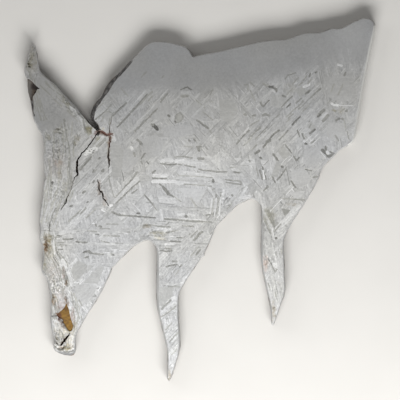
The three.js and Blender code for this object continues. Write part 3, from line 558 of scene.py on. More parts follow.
# Patches with no plates in them: tone, warmth, then the corners.
FIELDS = [
    (-0.06, 0.5, (175.2, 120.6), (177, 114.8), (180, 112.8), (183, 117.6), (180, 121.6)),
    (-0.15, 0.3, (196.8, 146.8), (201.2, 146.8), (199, 151)),
    (-0.06, 0.2, (108, 110), (112, 113.6), (110.6, 122), (103, 121), (101.4, 115.6)),
    (-0.08, 0.1, (206, 152.6), (216, 140.6), (220.6, 150), (212.6, 157.6)),
    (-0.06, 0.1, (217.6, 131), (224.6, 133), (222, 146)),
    (-0.12, 0.2, (247.4, 185.4), (254.4, 181), (257.2, 190), (251, 195.4)),
    (-0.12, 0.1, (226, 211.6), (229.6, 205.4), (232.4, 207), (228.8, 212.4)),
    (-0.3, 0.5, (281.4, 208.2), (290.4, 210.2), (285.2, 217.6)),
    (-0.16, 0.6, (263.6, 209), (267, 208), (274, 226), (270.6, 229.6)),
    (-0.1, 0.3, (70.8, 269.6), (78, 260.4), (87.4, 265), (87.2, 271), (74.6, 281.8)),
    (-0.07, 0.2, (88, 265), (104, 266.6), (98, 284), (80, 283), (87.6, 272)),
    (-0.09, 0.3, (157.6, 287.4), (173.6, 287), (172, 296.4), (161.9, 308.4), (158.2, 300)),
    (-0.06, 0.2, (111.4, 140), (124, 150), (121, 176), (113, 180), (110.4, 160)),
    (-0.07, 0.3, (270, 178.4), (276, 163), (281, 164), (277.6, 177)),
    (-0.06, 0.4, (296, 91), (301.6, 86), (307.4, 91.6), (300, 97)),
    (-0.05, 0.3, (311, 121), (316.6, 127.6), (312, 131), (307, 126)),
    (-0.06, 0.3, (283, 145.4), (291, 154.4), (284, 160), (278, 152)),
    (0.05, -0.4, (222.4, 187.4), (240, 188.6), (232, 201)),
    (0.05, -0.4, (176, 187.6), (206, 189.4), (199, 203), (188, 197)),
    (0.04, -0.3, (290, 192), (305, 191), (298, 203)),
    (0, 0.1, (326, 78), (352, 70), (357, 96), (340, 102), (328, 97)),
    (0, 0.1, (196, 101), (206, 106), (204, 118), (192, 121), (186, 110)),
    (-0.34, 0.3, (57, 353.2), (66, 354.4), (75.4, 351.8), (74.4, 357), (65, 359), (59, 357)),
    (-0.14, 0.8, (87, 125.6), (91, 126.4), (91.6, 134), (88.2, 136.6), (86.2, 132)),
    (0.01, 0, (148, 108), (160, 101), (171, 104), (172, 115), (160, 121), (150, 118)),
    (0.02, -0.2, (160, 124), (176, 126), (190, 124), (194, 134), (180, 137), (164, 136)),
    (0, -0.1, (142, 140), (156, 134), (164, 142), (160, 156), (146, 158)),
    (0, 0.2, (219, 100), (232, 98), (238, 110), (230, 124), (220, 118)),
    (0, 0, (304, 150), (318, 146), (322, 158), (316, 168), (303, 164)),
    (0.01, 0.1, (328, 122), (344, 123), (346, 134), (336, 142), (326, 136)),
    (0.02, 0, (291, 172), (304, 166), (311, 178), (303, 188), (292, 184)),
    (0, 0.2, (272, 96), (284, 93), (290, 100), (280, 108), (270, 106)),
    (0, -0.1, (124, 150), (134, 146), (138, 160), (130, 172), (122, 172)),
    (-0.04, 0.1, (76, 284), (97, 286), (92, 300), (82, 305), (74, 296)),
    (0, 0.1, (98, 222), (118, 217), (125, 226), (114, 233), (98, 232)),
]

# Fissures in the face, with the half width of the band where their walls lie.
FISSURES = {
    "main": (1.6, (98.6, 128.2), (97.2, 131.6), (95.1, 136.2), (91.6, 141.8), (87.6, 146.8),
             (82.6, 152.4), (80, 156), (77.8, 159.4), (76.7, 164), (76.9, 170.4), (77.6, 173.4),
             (75.2, 177), (73.2, 181), (72.4, 185.4), (70, 191), (67.6, 196.4), (65.6, 202.2),
             (62.6, 206.6), (60.6, 210.6)),
    "branch": (2.0, (97.4, 130.4), (100.6, 130.8), (103.8, 132.8), (106.8, 134.8),
               (109.4, 134.4), (113, 133.2)),
    "cheek": (1.3, (111.6, 116), (110.9, 122), (109.6, 128), (109.8, 134), (109.8, 140),
              (109, 148), (108.2, 155), (108.6, 161), (108.9, 166), (108, 173)),
    "inner": (1.2, (97, 179), (98.5, 184), (99.3, 190), (102, 192.2), (103.1, 197.4),
              (105.8, 201), (109.2, 206.6)),
    "muzzle": (1.8, (70.4, 332.6), (68, 335.8), (65.4, 339), (62.8, 341.8), (60.6, 345.4)),
}

# How wide and how deep each fissure gapes, as shares of its cut, from row to row of the face.
GAPES = {
    "main": [(128, 1.3, 1), (132, 1.5, 1), (136, 0.9, 1), (140, 0.8, 1), (151, 0.7, 1), (158, 0.8, 1),
             (165, 1.2, 1), (172, 1.2, 1), (178, 0.4, 0.3), (194, 0.3, 0.2), (200, 0.8, 1),
             (211, 0.6, 1)],
    "branch": [(128, 1.1, 0.16), (137, 1.1, 0.16)],
    "cheek": [(116, 0.5, 0.6), (132, 1, 0.4), (148, 1, 0.4), (155, 1.7, 1), (163, 1.9, 1),
              (168, 0.5, 0.5)],
    "inner": [(179, 1.2, 1), (190, 1.6, 1), (210, 1.2, 1)],
    "muzzle": [(332, 0.5, 1), (336, 0.9, 1), (340, 1.6, 1), (346, 1.4, 1)],
}

# Where the natural edge is rough: place and half size.
ROUGH_EDGES = [((92, 116), (12, 16)), ((31, 92), (7, 26)), ((26, 62), (5, 12)), ((48, 290), (9, 34)),
               ((54, 344), (9, 14)), ((66, 100), (12, 14))]

# The pan of the weathered inclusion, the chip in the horn and the line of the sawn end.
PAN = [
    (66.4, 303.4), (68.6, 308.6), (69.8, 314), (71.2, 319.4), (73, 325), (72.2, 329.6),
    (70, 331.6), (67.2, 329), (64.2, 324), (62.2, 319.4), (58.6, 317.4), (56.6, 314.6),
    (59.8, 311.6), (63.4, 308.2),
]
CHIP = [
    (22, 77), (29.4, 78.4), (32.2, 81), (35.6, 84.4), (41, 88.2), (37.6, 90), (36.4, 92.4),
    (34.9, 95), (33.4, 96.8), (32.2, 101), (22, 101.4),
]
SAWN_END = [(375.1, 30), (370, 55), (364, 86), (360.3, 107), (357.3, 127), (355.6, 136),
            (353.9, 140.8), (351.6, 143.2)]

# Where the metal was reheated the pattern is gone: down to these points, from left to right. It
# comes in over as many squares as FADE says.
REHEATED = [(24, 134), (60, 128), (75, 118), (95, 96), (110, 94), (150, 90), (200, 92),
            (250, 85), (280, 77), (300, 70), (340, 62), (376, 60)]
FADE = 16.0

# Broad regions that are brighter or darker: the change of tone, the middle and the half size.
REGIONS = [
    (0.11, (190, 180), (42, 30)), (0.02, (130, 225), (34, 16)), (-0.09, (60, 145), (18, 30)),
    (0.07, (355, 34), (26, 22)), (-0.03, (275, 232), (16, 20)), (0.04, (275, 290), (14, 22)),
    (-0.04, (300, 150), (30, 20)), (0.05, (60, 250), (16, 22)), (-0.06, (136, 156), (30, 26)),
    (-0.04, (35, 70), (9, 14)), (-0.08, (33, 48), (6, 9)), (0.06, (64, 110), (12, 14)),
    (-0.1, (100, 180), (26, 24)), (-0.14, (60, 336), (10, 15)), (-0.17, (46, 268), (5, 20)),
    (0.07, (60, 274), (8, 18)), (-0.05, (136, 112), (22, 14)), (-0.02, (150, 60), (30, 20)),
    (0.03, (310, 50), (26, 14)), (0.07, (354, 40), (26, 24)), (-0.03, (318, 108), (22, 14)),
    (-0.03, (130, 228), (30, 12)), (-0.04, (76, 236), (16, 16)), (-0.08, (273, 232), (14, 18)),
]

# The tone of the reheated metal, and how much brighter the etched metal is where the pattern
# begins and farther down.
REHEATED_TONE = -0.28
ETCHED_GAIN = 0.15
LOWER_GAIN = 0.18

# How strongly tones count, and the least share of them that is left near the reheated metal.
DARK_CONTRAST = 1.32
BRIGHT_CONTRAST = 1.3
GROWN_CLARITY = 0.55
PLOTTED_CLARITY = 0.63

# How the plotted marks and patches are taken over.
MARK_WIDTH = 1.55
MARK_WARMTH = 0.34
FIELD_TONE = 0.75
FIELD_WARMTH = 0.6
FIELD_GRAIN = 0.35

# The grown pattern: what its random numbers start from, its area, how many plates and specks
# there are, how far a grain's headings reach, and the ranges that sizes in squares, tilts in
# degrees and tones are drawn from.
SEED = 7
GROWN_COLUMNS = (24, 376)
GROWN_ROWS = (60, 382)
FACE_PLATES = 520
FACE_SPECKS = 420
BACK_PLATES = 320
GRAIN_REACH = 22
PLATE_LENGTHS = (22, 84)
PLATE_WIDTHS = (3.2, 7.5)
PLATE_TILT = 1.2
PLATE_TONE = 0.046
PLATE_WARMTH = 0.1
RIM_WIDTHS = (0.6, 1.1)
RIM_TONES = (-0.26, -0.1), (0.08, 0.24)
SPECK_HALF_LENGTHS = (0.3, 2.4)
SPECK_WIDTHS = (0.6, 1.3)
SPECK_TILT = 2
SPECK_TONES = (-0.26, -0.1), (0.1, 0.28)
FLOW_WIDTHS = (0.7, 1.7)
FLOW_TONES = (-0.24, -0.08), (0.04, 0.14)

# The flat faces, in squares: the space between their loose points, how far inside the rims a
# second line runs, how far strokes stay from the rims, how much of a stroke that costs at most,
# how far strokes reach past their ends, and how near two points are one.
FACE_SPACING = 6.0
BACK_SPACING = 9.0
RIM_INSET = 0.6
CLEARANCE = 0.3
WIDEST_CLEARANCE = 2
OVERLAP = 0.02
MERGED = 0.03

# The most sides that a piece of the pattern has.
SIDES = 6

# The skin, in metres: how near two corners are one, and the longest side, as far as so many
# rounds of halving get there. FLAT is how nearly upright the normal of a flat face stands, and
# edges that turn by more degrees than SHARP_ANGLE look sharp.
WELD = 1e-6
SKIN_EDGE = 0.8 * MILLIMETRE
SKIN_ROUNDS = 3
FLAT = 0.99
SHARP_ANGLE = 32

# How far the rim of the etched face lies below it, how deep its darkest marks are, and the tone
# from which on a mark is that deep.
RIM_DROP = 0.002 * MILLIMETRE
DEEPEST_MARK = 0.012 * MILLIMETRE
DEEPEST_TONE = -0.3

# The walls of the fissures, in squares: how far they wander, how often, how unevenly they gape,
# how wide a band round them keeps its form, and how wide a gap along the rims is sealed.
JAG = 0.9
JAG_PITCH = 0.42
JAG_WIDTH = 0.7
HELD_MARGIN = 1.4
SEAL = 0.12

# How near the sawn end or the pan a triangle of the skin belongs to it, in squares, and how deep
# the pan's triangles can lie. Walls of fissures and of the chip face upwards at least this much.
SAWN_REACH = 4.5
PAN_REACH = 2.2
PAN_DEPTH = 0.8 * MILLIMETRE
WALL_SLOPE = 0.02
CHIP_SLOPE = 0.15

# Where the metal flowed in bent lines: the path, half width, number of lines and contrast.
FLOWS = [
    ([(46, 230), (48.6, 243), (53, 255), (59, 266), (63, 277), (65, 290)], 9, 150, 0.8),
    ([(69, 118), (68, 140), (68, 165), (64, 190), (56, 208), (49, 226)], 10, 70, 0.45),
    ([(42, 80), (56, 93), (70, 106), (82, 119), (90, 131)], 6, 110, 0.48),
    ([(30, 48), (29, 62), (33, 78), (36, 96), (42, 120)], 5, 60, 0.45),
    ([(47, 284), (53, 298), (55, 314), (58, 328), (62, 342)], 7, 70, 0.9),
    ([(72, 290), (74, 304), (76, 318), (74, 336), (70, 350)], 6, 50, 0.6),
    ([(50, 130), (49, 150), (49, 175), (47, 200), (43, 225)], 5, 26, 0.45),
]

# A grown piece fades out in the reheated metal. Grain is how strongly its fine grain shows.
Piece = namedtuple("Piece", "corners tone warmth angle seed grown grain", defaults=(False, 1.0))


def cross(a, b):
    """How far b turns left of a, for rows of flat vectors."""
    return a[..., 0] * b[..., 1] - a[..., 1] * b[..., 0]


def anticlockwise(corners):
    """A convex piece's corners in order, whichever way they were given. Down is positive."""
    corners = np.asarray(corners, float)
    following = np.roll(corners, -1, axis=0)
    return corners if cross(corners, following).sum() > 0 else corners[::-1]


def lath(start, end, width, rng):
    """A narrow piece from start to end, with pointed ends and slightly uneven width."""
    unevenness = (0.75, 1.15)
    point = 0.4 * width
    start, end = np.asarray(start, float), np.asarray(end, float)
    along = (end - start) / np.linalg.norm(end - start)
    across = np.array([-along[1], along[0]])
    first, last = (0.5 * width * rng.uniform(*unevenness) for _ in range(2))
    return anticlockwise([
        start - along * point, start - across * first, end - across * last,
        end + along * point, end + across * last, start + across * first,
    ])


def heading_way(angle):
    """The direction at an angle above the across axis. Down is positive."""
    return np.array([math.cos(angle), -math.sin(angle)])


def plate(middle, angle, length, width, cut_angles):
    """A broad strip whose two ends are cut along other headings."""
    along = heading_way(angle)
    across = np.array([along[1], -along[0]])
    most = 1.2 * width
    corners = []
    for side, cut in zip((-1, 1), cut_angles):
        slant = 0.5 * width / math.tan(cut - angle)
        slant = max(-most, min(most, slant))
        end = middle + side * along * 0.5 * length
        for half in (-side, side):
            corners.append(end + half * (across * 0.5 * width + along * slant))
    return anticlockwise(corners)


def lean(start, end):
    """The angle of a stroke above the across axis."""
    return math.atan2(start[1] - end[1], end[0] - start[0])


def reheated_row(across):
    """How far down the reheated metal reaches in a column."""
    columns, rows = zip(*REHEATED)
    return np.interp(across, columns, rows)


def below_reheated(points):
    """How far plotted points lie below the reheated metal."""
    return points[:, 1] - reheated_row(points[:, 0])


def ramp(values, start, length):
    """0 up to the start, then evenly up to 1 over the length."""
    return np.clip((values - start) / length, 0, 1)


def etched_share(points):
    """How clearly the pattern shows at plotted points, from 0 in the reheated metal to 1."""
    share = ramp(below_reheated(points), -0.5 * FADE, FADE)
    return share * share * (3 - 2 * share)


def clarity(points):
    """How strong the contrast between the plates is: less in and near the reheated metal."""
    start, length = 15, 75
    return GROWN_CLARITY + (1 - GROWN_CLARITY) * ramp(below_reheated(points), start, length)


def regional_tone(points):
    """How bright the metal is from one region to the next, without its plates."""
    start, length = 10, 60
    lower = ramp(below_reheated(points), start, length)
    tone = REHEATED_TONE + ETCHED_GAIN * etched_share(points) + LOWER_GAIN * lower
    for change, middle, half_size in REGIONS:
        offset = (points - middle) / half_size
        tone += change * np.exp(-(offset ** 2).sum(1))
    return tone


def choose_heading(spot, rng):
    """A heading's name, as common as the grains near that spot have it."""
    least = 1e-6
    tally = {name: 0.0 for name in HEADINGS}
    for (across, down), headings in GRAINS:
        gap = math.hypot(spot[0] - across, spot[1] - down)
        nearness = math.exp(-((gap / GRAIN_REACH) ** 2))
        for name, times in headings.items():
            tally[name] += nearness * times + least
    names = list(tally)
    return rng.choices(names, [tally[name] for name in names])[0]


def random_spot(rng):
    """Any spot where the pattern can grow."""
    return np.array([rng.uniform(*GROWN_COLUMNS), rng.uniform(*GROWN_ROWS)])


def random_tone(dark_share, tones, rng):
    """Whether a line is dark, as often as this share says, and its tone."""
    dark_tones, bright_tones = tones
    dark = rng.random() < dark_share
    return dark, rng.uniform(*(dark_tones if dark else bright_tones))


def grown_plates(count, rng):
    """Crossing plates all over the face, each with thin rims. The later ones are shorter."""
    longest, shortening = 1.3, 0.6
    pieces = []
    for number in range(count):
        spot = random_spot(rng)
        name = choose_heading(spot, rng)
        angle = math.radians(HEADINGS[name] + rng.gauss(0, PLATE_TILT))
        others = [math.radians(HEADINGS[other]) for other in HEADINGS if other != name]
        length = rng.uniform(*PLATE_LENGTHS) * (longest - shortening * number / count)
        width = rng.uniform(*PLATE_WIDTHS)
        seed = rng.random()
        tone = rng.gauss(0, PLATE_TONE)
        corners = plate(spot, angle, length, width, rng.choices(others, k=2))
        pieces.append(Piece(corners, tone, PLATE_WARMTH * rng.random(), angle, seed, True))
        pieces += plate_rims(spot, angle, length, width, rng)
    return pieces


def plate_rims(middle, angle, length, width, rng):
    """Thin dark or bright lines along parts of a plate's two long sides."""
    bare_share = 0.35
    dark_share = 0.62
    dark_warmth = 0.15
    shortest = 0.15
    along = heading_way(angle)
    across = np.array([along[1], -along[0]])
    rims = []
    for side in (-1, 1):
        if rng.random() < bare_share:
            continue
        edge = middle + side * across * 0.5 * width
        low, high = sorted((rng.uniform(-0.5, 0.5), rng.uniform(-0.5, 0.5)))
        if high - low < shortest:
            continue
        start, end = edge + along * length * low, edge + along * length * high
        dark, tone = random_tone(dark_share, RIM_TONES, rng)
        corners = lath(start, end, rng.uniform(*RIM_WIDTHS), rng)
        warmth = dark_warmth if dark else 0.0
        rims.append(Piece(corners, tone, warmth, angle, rng.random(), True))
    return rims


def grown_specks(count, rng):
    """Short dark dashes along the headings, and a few bright ones."""
    dark_share = 0.7
    dark_warmth = 0.25
    pieces = []
    for _ in range(count):
        spot = random_spot(rng)
        angle = math.radians(HEADINGS[choose_heading(spot, rng)] + rng.gauss(0, SPECK_TILT))
        half = heading_way(angle) * rng.uniform(*SPECK_HALF_LENGTHS)
        dark, tone = random_tone(dark_share, SPECK_TONES, rng)
        corners = lath(spot - half, spot + half, rng.uniform(*SPECK_WIDTHS), rng)
        warmth = dark_warmth if dark else 0.0
        pieces.append(Piece(corners, tone, warmth, angle, rng.random(), True))
    return pieces


def flow_line(path, rng):
    """A stretch of a path in three straight parts that drift a little aside."""
    parts = 3
    lengths = (0.25, 1.1)
    drift_step = 0.5
    drift_way = (1, 0.3)
    latest = len(path) - 1.2
    first = rng.uniform(0, latest)
    last = min(first + rng.uniform(*lengths), len(path) - 1)
    stations = np.linspace(first, last, parts + 1)
    drift = np.cumsum([0] + [rng.gauss(0, drift_step) for _ in range(parts)])
    columns = [np.interp(stations, np.arange(len(path)), path[:, k]) for k in (0, 1)]
    return np.stack(columns, 1) + drift[:, None] * drift_way


def flow_lines(rng):
    """Bent lines side by side along each flow, dark and bright."""
    dark_share = 0.6
    dark_warmth = 0.4
    spread = 0.5
    pieces = []
    for path, half_width, count, contrast in FLOWS:
        path = np.asarray(path, float)
        ways = np.gradient(path, axis=0)
        ways /= np.linalg.norm(ways, axis=1, keepdims=True)
        aside = np.stack([-ways[:, 1], ways[:, 0]], 1)
        for _ in range(count):
            offset = rng.gauss(0, spread) * half_width
            line = flow_line(path + aside * offset, rng)
            dark, tone = random_tone(dark_share, FLOW_TONES, rng)
            warmth = dark_warmth if dark else 0.0
            width = rng.uniform(*FLOW_WIDTHS)
            for start, end in zip(line, line[1:]):
                corners = lath(start, end, width, rng)
                angle = lean(start, end)
                pieces.append(Piece(corners, contrast * tone, warmth, angle, rng.random()))
    return pieces


def ragged(start, end, tone, width, rng):
    """Small specks along a stroke's sides, which make its edges uneven."""
    spacing = 2.4
    aside = 0.55
    half_lengths = (0.3, 1.1)
    widths = tone_shares = (0.4, 0.9)
    same_share, opposite = 0.6, -0.5
    warmth = 0.2
    start, end = np.asarray(start, float), np.asarray(end, float)
    length = np.linalg.norm(end - start)
    along = (end - start) / length
    across = np.array([-along[1], along[0]])
    pieces = []
    for _ in range(int(length / spacing)):
        middle = start + along * rng.uniform(0, length)
        middle = middle + across * width * rng.choice((-aside, aside))
        half = along * rng.uniform(*half_lengths)
        corners = lath(middle - half, middle + half, rng.uniform(*widths), rng)
        same = rng.random() < same_share
        change = tone * (rng.uniform(*tone_shares) if same else opposite)
        pieces.append(Piece(corners, change, warmth, lean(start, end), rng.random()))
    return pieces


def placed_fields(rng):
    """The plotted patches. Each is cut in triangles round its middle."""
    angles = [math.radians(HEADINGS[name]) for name in ("level", "rising", "steep")]
    pieces = []
    for tone, warmth, *corners in FIELDS:
        middle = np.mean(corners, axis=0)
        angle = rng.choice(angles)
        facts = (FIELD_TONE * tone, FIELD_WARMTH * warmth, angle, rng.random())
        for first, second in zip(corners, corners[1:] + corners[:1]):
            triangle = anticlockwise([middle, first, second])
            pieces.append(Piece(triangle, *facts, grain=FIELD_GRAIN))
    return pieces


def placed_marks(rng):
    """The plotted strokes."""
    pieces = []
    for tone, width, *path in MARKS:
        warmth = MARK_WARMTH if tone < 0 else 0.0
        for start, end in zip(path, path[1:]):
            corners = lath(start, end, MARK_WIDTH * width, rng)
            pieces.append(Piece(corners, tone, warmth, lean(start, end), rng.random()))
            pieces += ragged(start, end, tone, MARK_WIDTH * width, rng)
    return pieces


def half_planes(pieces):
    """Every piece's sides as outward normals and offsets, each with the same number of sides."""
    normals = np.zeros((len(pieces), SIDES, 2))
    offsets = np.zeros((len(pieces), SIDES))
    for row, piece in enumerate(pieces):
        corners = piece.corners
        way = np.roll(corners, -1, axis=0) - corners
        out = np.stack([way[:, 1], -way[:, 0]], 1)
        out /= np.linalg.norm(out, axis=1, keepdims=True)
        reach = (out * corners).sum(1)
        normals[row] = out[-1]
        offsets[row] = reach[-1]
        normals[row, : len(out)] = out
        offsets[row, : len(out)] = reach
    return normals, offsets


def uncovered(start, end, normals, offsets):
    """The shares of a stroke that none of these pieces covers."""
    tiny = 1e-9
    slope = normals @ (end - start)
    room = offsets - normals @ start
    with np.errstate(divide="ignore", invalid="ignore"):
        share = room / slope
    enter = np.where(slope < -tiny, share, -np.inf).max(axis=1)
    leave = np.where(slope > tiny, share, np.inf).min(axis=1)
    missed = ((np.abs(slope) <= tiny) & (room < tiny)).any(axis=1)
    hit = (enter < leave) & (leave > 0) & (enter < 1) & ~missed
    free = []
    reached = 0.0
    for low, high in sorted(zip(enter[hit], leave[hit])):
        if low > reached:
            free.append((reached, min(low, 1.0)))
        reached = max(reached, high)
    if reached < 1:
        free.append((reached, 1.0))
    return free


def visible_strokes(pieces):
    """The sides of the pieces, as far as no later piece covers them."""
    normals, offsets = half_planes(pieces)
    middles = np.array([piece.corners.mean(0) for piece in pieces])
    reaches = np.array([
        np.linalg.norm(piece.corners - middle, axis=1).max()
        for piece, middle in zip(pieces, middles)
    ])
    strokes = []
    for row, piece in enumerate(pieces):
        gaps = np.linalg.norm(middles[row + 1:] - middles[row], axis=1)
        near = np.nonzero(gaps < reaches[row + 1:] + reaches[row])[0] + row + 1
        for start, end in zip(piece.corners, np.roll(piece.corners, -1, axis=0)):
            length = np.linalg.norm(end - start)
            for low, high in uncovered(start, end, normals[near], offsets[near]):
                low = max(0.0, low - OVERLAP / length)
                high = min(1.0, high + OVERLAP / length)
                strokes.append((start + (end - start) * low, start + (end - start) * high))
    return strokes


def inside(points, starts, ends):
    """Whether each point lies inside the closed rims, by how often a line down meets them."""
    step = 4000
    result = np.zeros(len(points), bool)
    with np.errstate(divide="ignore", invalid="ignore"):
        slope = (ends[:, 1] - starts[:, 1]) / (ends[:, 0] - starts[:, 0])
    for first in range(0, len(points), step):
        x = points[first:first + step, :1]
        y = points[first:first + step, 1:]
        spans = (starts[:, 0] > x) != (ends[:, 0] > x)
        with np.errstate(invalid="ignore"):
            meets = spans & (y < starts[:, 1] + (x - starts[:, 0]) * slope)
        result[first:first + step] = meets.sum(1) % 2 == 1
    return result


def trimmed_strokes(strokes, starts, ends):
    """The parts of the strokes that lie in the metal, a little short of its rims."""
    kept = []
    ways = ends - starts
    lengths = np.linalg.norm(ways, axis=1)
    lows = np.minimum(starts, ends)
    highs = np.maximum(starts, ends)
    for start, end in strokes:
        way = end - start
        length = np.linalg.norm(way)
        near = (lows <= np.maximum(start, end)).all(1) & (highs >= np.minimum(start, end)).all(1)
        turn = cross(way, ways[near])
        offset = starts[near] - start
        with np.errstate(divide="ignore", invalid="ignore"):
            share = cross(offset, ways[near]) / turn
            place_on_rim = cross(offset, way) / turn
            margin = CLEARANCE * lengths[near] / np.abs(turn)
            margin = np.minimum(margin, WIDEST_CLEARANCE / length)
        hit = (share > 0) & (share < 1) & (place_on_rim >= 0) & (place_on_rim <= 1)
        stops = [(0.0, 0.0)] + sorted(zip(share[hit], margin[hit])) + [(1.0, 0.0)]
        for (low, low_margin), (high, high_margin) in zip(stops, stops[1:]):
            low, high = low + low_margin, high - high_margin
            if (high - low) * length > CLEARANCE:
                kept.append((start + way * low, start + way * high))
    if not kept:
        return kept
    middles = np.array([(start + end) / 2 for start, end in kept])
    return [stroke for stroke, good in zip(kept, inside(middles, starts, ends)) if good]


def rim_lines(loops):
    """Lines that run along inside the rims, where the face begins to turn down."""
    tiny = 1e-9
    lines = []
    for loop in loops:
        along = np.roll(loop, -1, axis=0) - np.roll(loop, 1, axis=0)
        along /= np.maximum(np.linalg.norm(along, axis=1, keepdims=True), tiny)
        inner = loop + RIM_INSET * np.stack([-along[:, 1], along[:, 0]], 1)
        lines += list(zip(inner, np.roll(inner, -1, axis=0)))
    return lines


def scattered_points(spacing, starts, ends, rng):
    """Loose points in the metal, so that no triangle of the face is very long."""
    shift = 0.35
    columns = np.arange(*GROWN_COLUMNS, spacing)
    rows = np.arange(TOP_ROW, GROWN_ROWS[1], spacing)
    points = np.array([
        (column + rng.uniform(-shift, shift) * spacing, row + rng.uniform(-shift, shift) * spacing)
        for row in rows for column in columns
    ])
    return points[inside(points, starts, ends)]


def topmost(points, pieces):
    """For each point, the row of the last piece that it lies on, or -1."""
    tiny = 1e-9
    normals, offsets = half_planes(pieces)
    found = np.full(len(points), -1)
    order = np.argsort(points[:, 0])
    sorted_across = points[order, 0]
    for row, piece in enumerate(pieces):
        low, high = piece.corners.min(0), piece.corners.max(0)
        first, last = np.searchsorted(sorted_across, (low[0], high[0]))
        rows = order[first:last]
        rows = rows[(points[rows, 1] >= low[1]) & (points[rows, 1] <= high[1])]
        covered = (points[rows] @ normals[row].T <= offsets[row] + tiny).all(1)
        found[rows[covered]] = row
    return found


Face = namedtuple("Face", "points rim_ids triangles owners")


def laid_out_face(loops, pieces, spacing, rng):
    """A flat face inside the rims, cut along every side of every piece that shows."""
    starts = np.concatenate(loops)
    ends = np.concatenate([np.roll(loop, -1, axis=0) for loop in loops])
    strokes = trimmed_strokes(visible_strokes(pieces) + rim_lines(loops), starts, ends)
    loose = scattered_points(spacing, starts, ends, rng)
    corners = [Vector(point) for point in starts]
    edges = []
    first = 0
    for loop in loops:
        count = len(loop)
        edges += [(first + k, first + (k + 1) % count) for k in range(count)]
        first += count
    for start, end in strokes:
        edges.append((len(corners), len(corners) + 1))
        corners += [Vector(start), Vector(end)]
    corners += [Vector(point) for point in loose]
    whole = 0
    made = delaunay_2d_cdt(corners, edges, [], whole, MERGED, True)
    points = np.array([tuple(point) for point in made[0]])
    rim_ids = [next((k for k in ids if k < len(starts)), -1) for ids in made[3]]
    triangles = np.array([tuple(face) for face in made[2]])
    middles = points[triangles].mean(1)
    triangles = triangles[inside(middles, starts, ends)]
    owners = topmost(points[triangles].mean(1), pieces)
    return Face(points, rim_ids, triangles, owners)


def is_flat_face(face):
    """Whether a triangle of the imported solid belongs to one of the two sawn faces."""
    heights = [vert.co.z for vert in face.verts]
    on_top = face.normal.z > FLAT and min(heights) > FACE_HEIGHT - WELD
    on_back = face.normal.z < -FLAT and max(heights) < WELD
    return on_top or on_back


def refined_skin():
    """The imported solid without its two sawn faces, cut into small triangles."""
    skin = bmesh.new()
    skin.from_mesh(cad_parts[NODE].data)
    bmesh.ops.remove_doubles(skin, verts=skin.verts, dist=WELD)
    skin.normal_update()
    flat = [face for face in skin.faces if is_flat_face(face)]
    bmesh.ops.delete(skin, geom=flat, context="FACES")
    for _ in range(SKIN_ROUNDS):
        long_edges = [edge for edge in skin.edges if edge.calc_length() > SKIN_EDGE]
        bmesh.ops.subdivide_edges(skin, edges=long_edges, cuts=1)
        bmesh.ops.triangulate(skin, faces=[f for f in skin.faces if len(f.verts) > 3])
    skin.normal_update()
    skin.verts.index_update()
    skin.verts.ensure_lookup_table()
    return skin


def nearest_on_path(points, path):
    """The place on a line of straight pieces that is nearest to each plotted point."""
    nearest = np.full(len(points), np.inf)
    feet = np.zeros((len(points), 2))
    for start, end in zip(path, path[1:]):
        start, way = np.asarray(start, float), np.subtract(end, start)
        share = np.clip(((points - start) @ way) / (way @ way), 0, 1)
        foot = start + share[:, None] * way
        gap = np.linalg.norm(points - foot, axis=1)
        closer = gap < nearest
        nearest[closer] = gap[closer]
        feet[closer] = foot[closer]
    return feet, nearest


def distance_to_path(points, path):
    """How far each plotted point is from a line of straight pieces."""
    return nearest_on_path(points, path)[1]


def within(points, outline):
    """Whether each plotted point lies in a closed outline."""
    starts = np.asarray(outline, float)
    return inside(points, starts, np.roll(starts, -1, axis=0))


def skin_surfaces(skin):
    """The kind of surface of every triangle of the skin."""
    middles = np.array([tuple(face.calc_center_median()) for face in skin.faces])
    upward = np.array([face.normal.z for face in skin.faces])
    spots = plotted(middles[:, :2])
    deep = FACE_HEIGHT - middles[:, 2]
    surfaces = np.full(len(middles), CRUST)
    surfaces[distance_to_path(spots, SAWN_END) < SAWN_REACH] = SAWN
    for half_width, *path in FISSURES.values():
        near = distance_to_path(spots, path) < half_width
        surfaces[near & (upward > WALL_SLOPE)] = FISSURE
    near = distance_to_path(spots, PAN + PAN[:1]) < PAN_REACH
    surfaces[(within(spots, PAN) | near) & (deep < PAN_DEPTH)] = INCLUSION
    surfaces[within(spots, CHIP) & (upward > CHIP_SLOPE)] = CHIPPED
    return surfaces


def close_fissures(skin):
    """Draws the walls of the fissures together where they gape less than their cut."""
    width_pitch = 1.3
    width_start = Vector((7, 3, 5))
    slant = 0.4
    spots = plotted([vert.co[:2] for vert in skin.verts])
    raised = np.array([vert.co.z > WELD for vert in skin.verts])
    for name, (half_width, *path) in FISSURES.items():
        feet, gaps = nearest_on_path(spots, path)
        rows, wide, deep = zip(*GAPES[name])
        wide = np.interp(feet[:, 1], rows, wide)
        deep = np.interp(feet[:, 1], rows, deep)
        inner = raised & (gaps < half_width)
        for index in np.nonzero(inner)[0]:
            where = Vector((*feet[index], 0)) * JAG_PITCH
            jag = JAG * noise.noise(where)
            uneven = 1 + JAG_WIDTH * noise.noise(where * width_pitch + width_start)
            aside = spots[index] - feet[index]
            spot = feet[index] + aside * wide[index] * uneven + (jag, slant * jag)
            vert = skin.verts[index]
            vert.co.x, vert.co.y = place(*spot)
            vert.co.z = FACE_HEIGHT - (FACE_HEIGHT - vert.co.z) * deep[index]


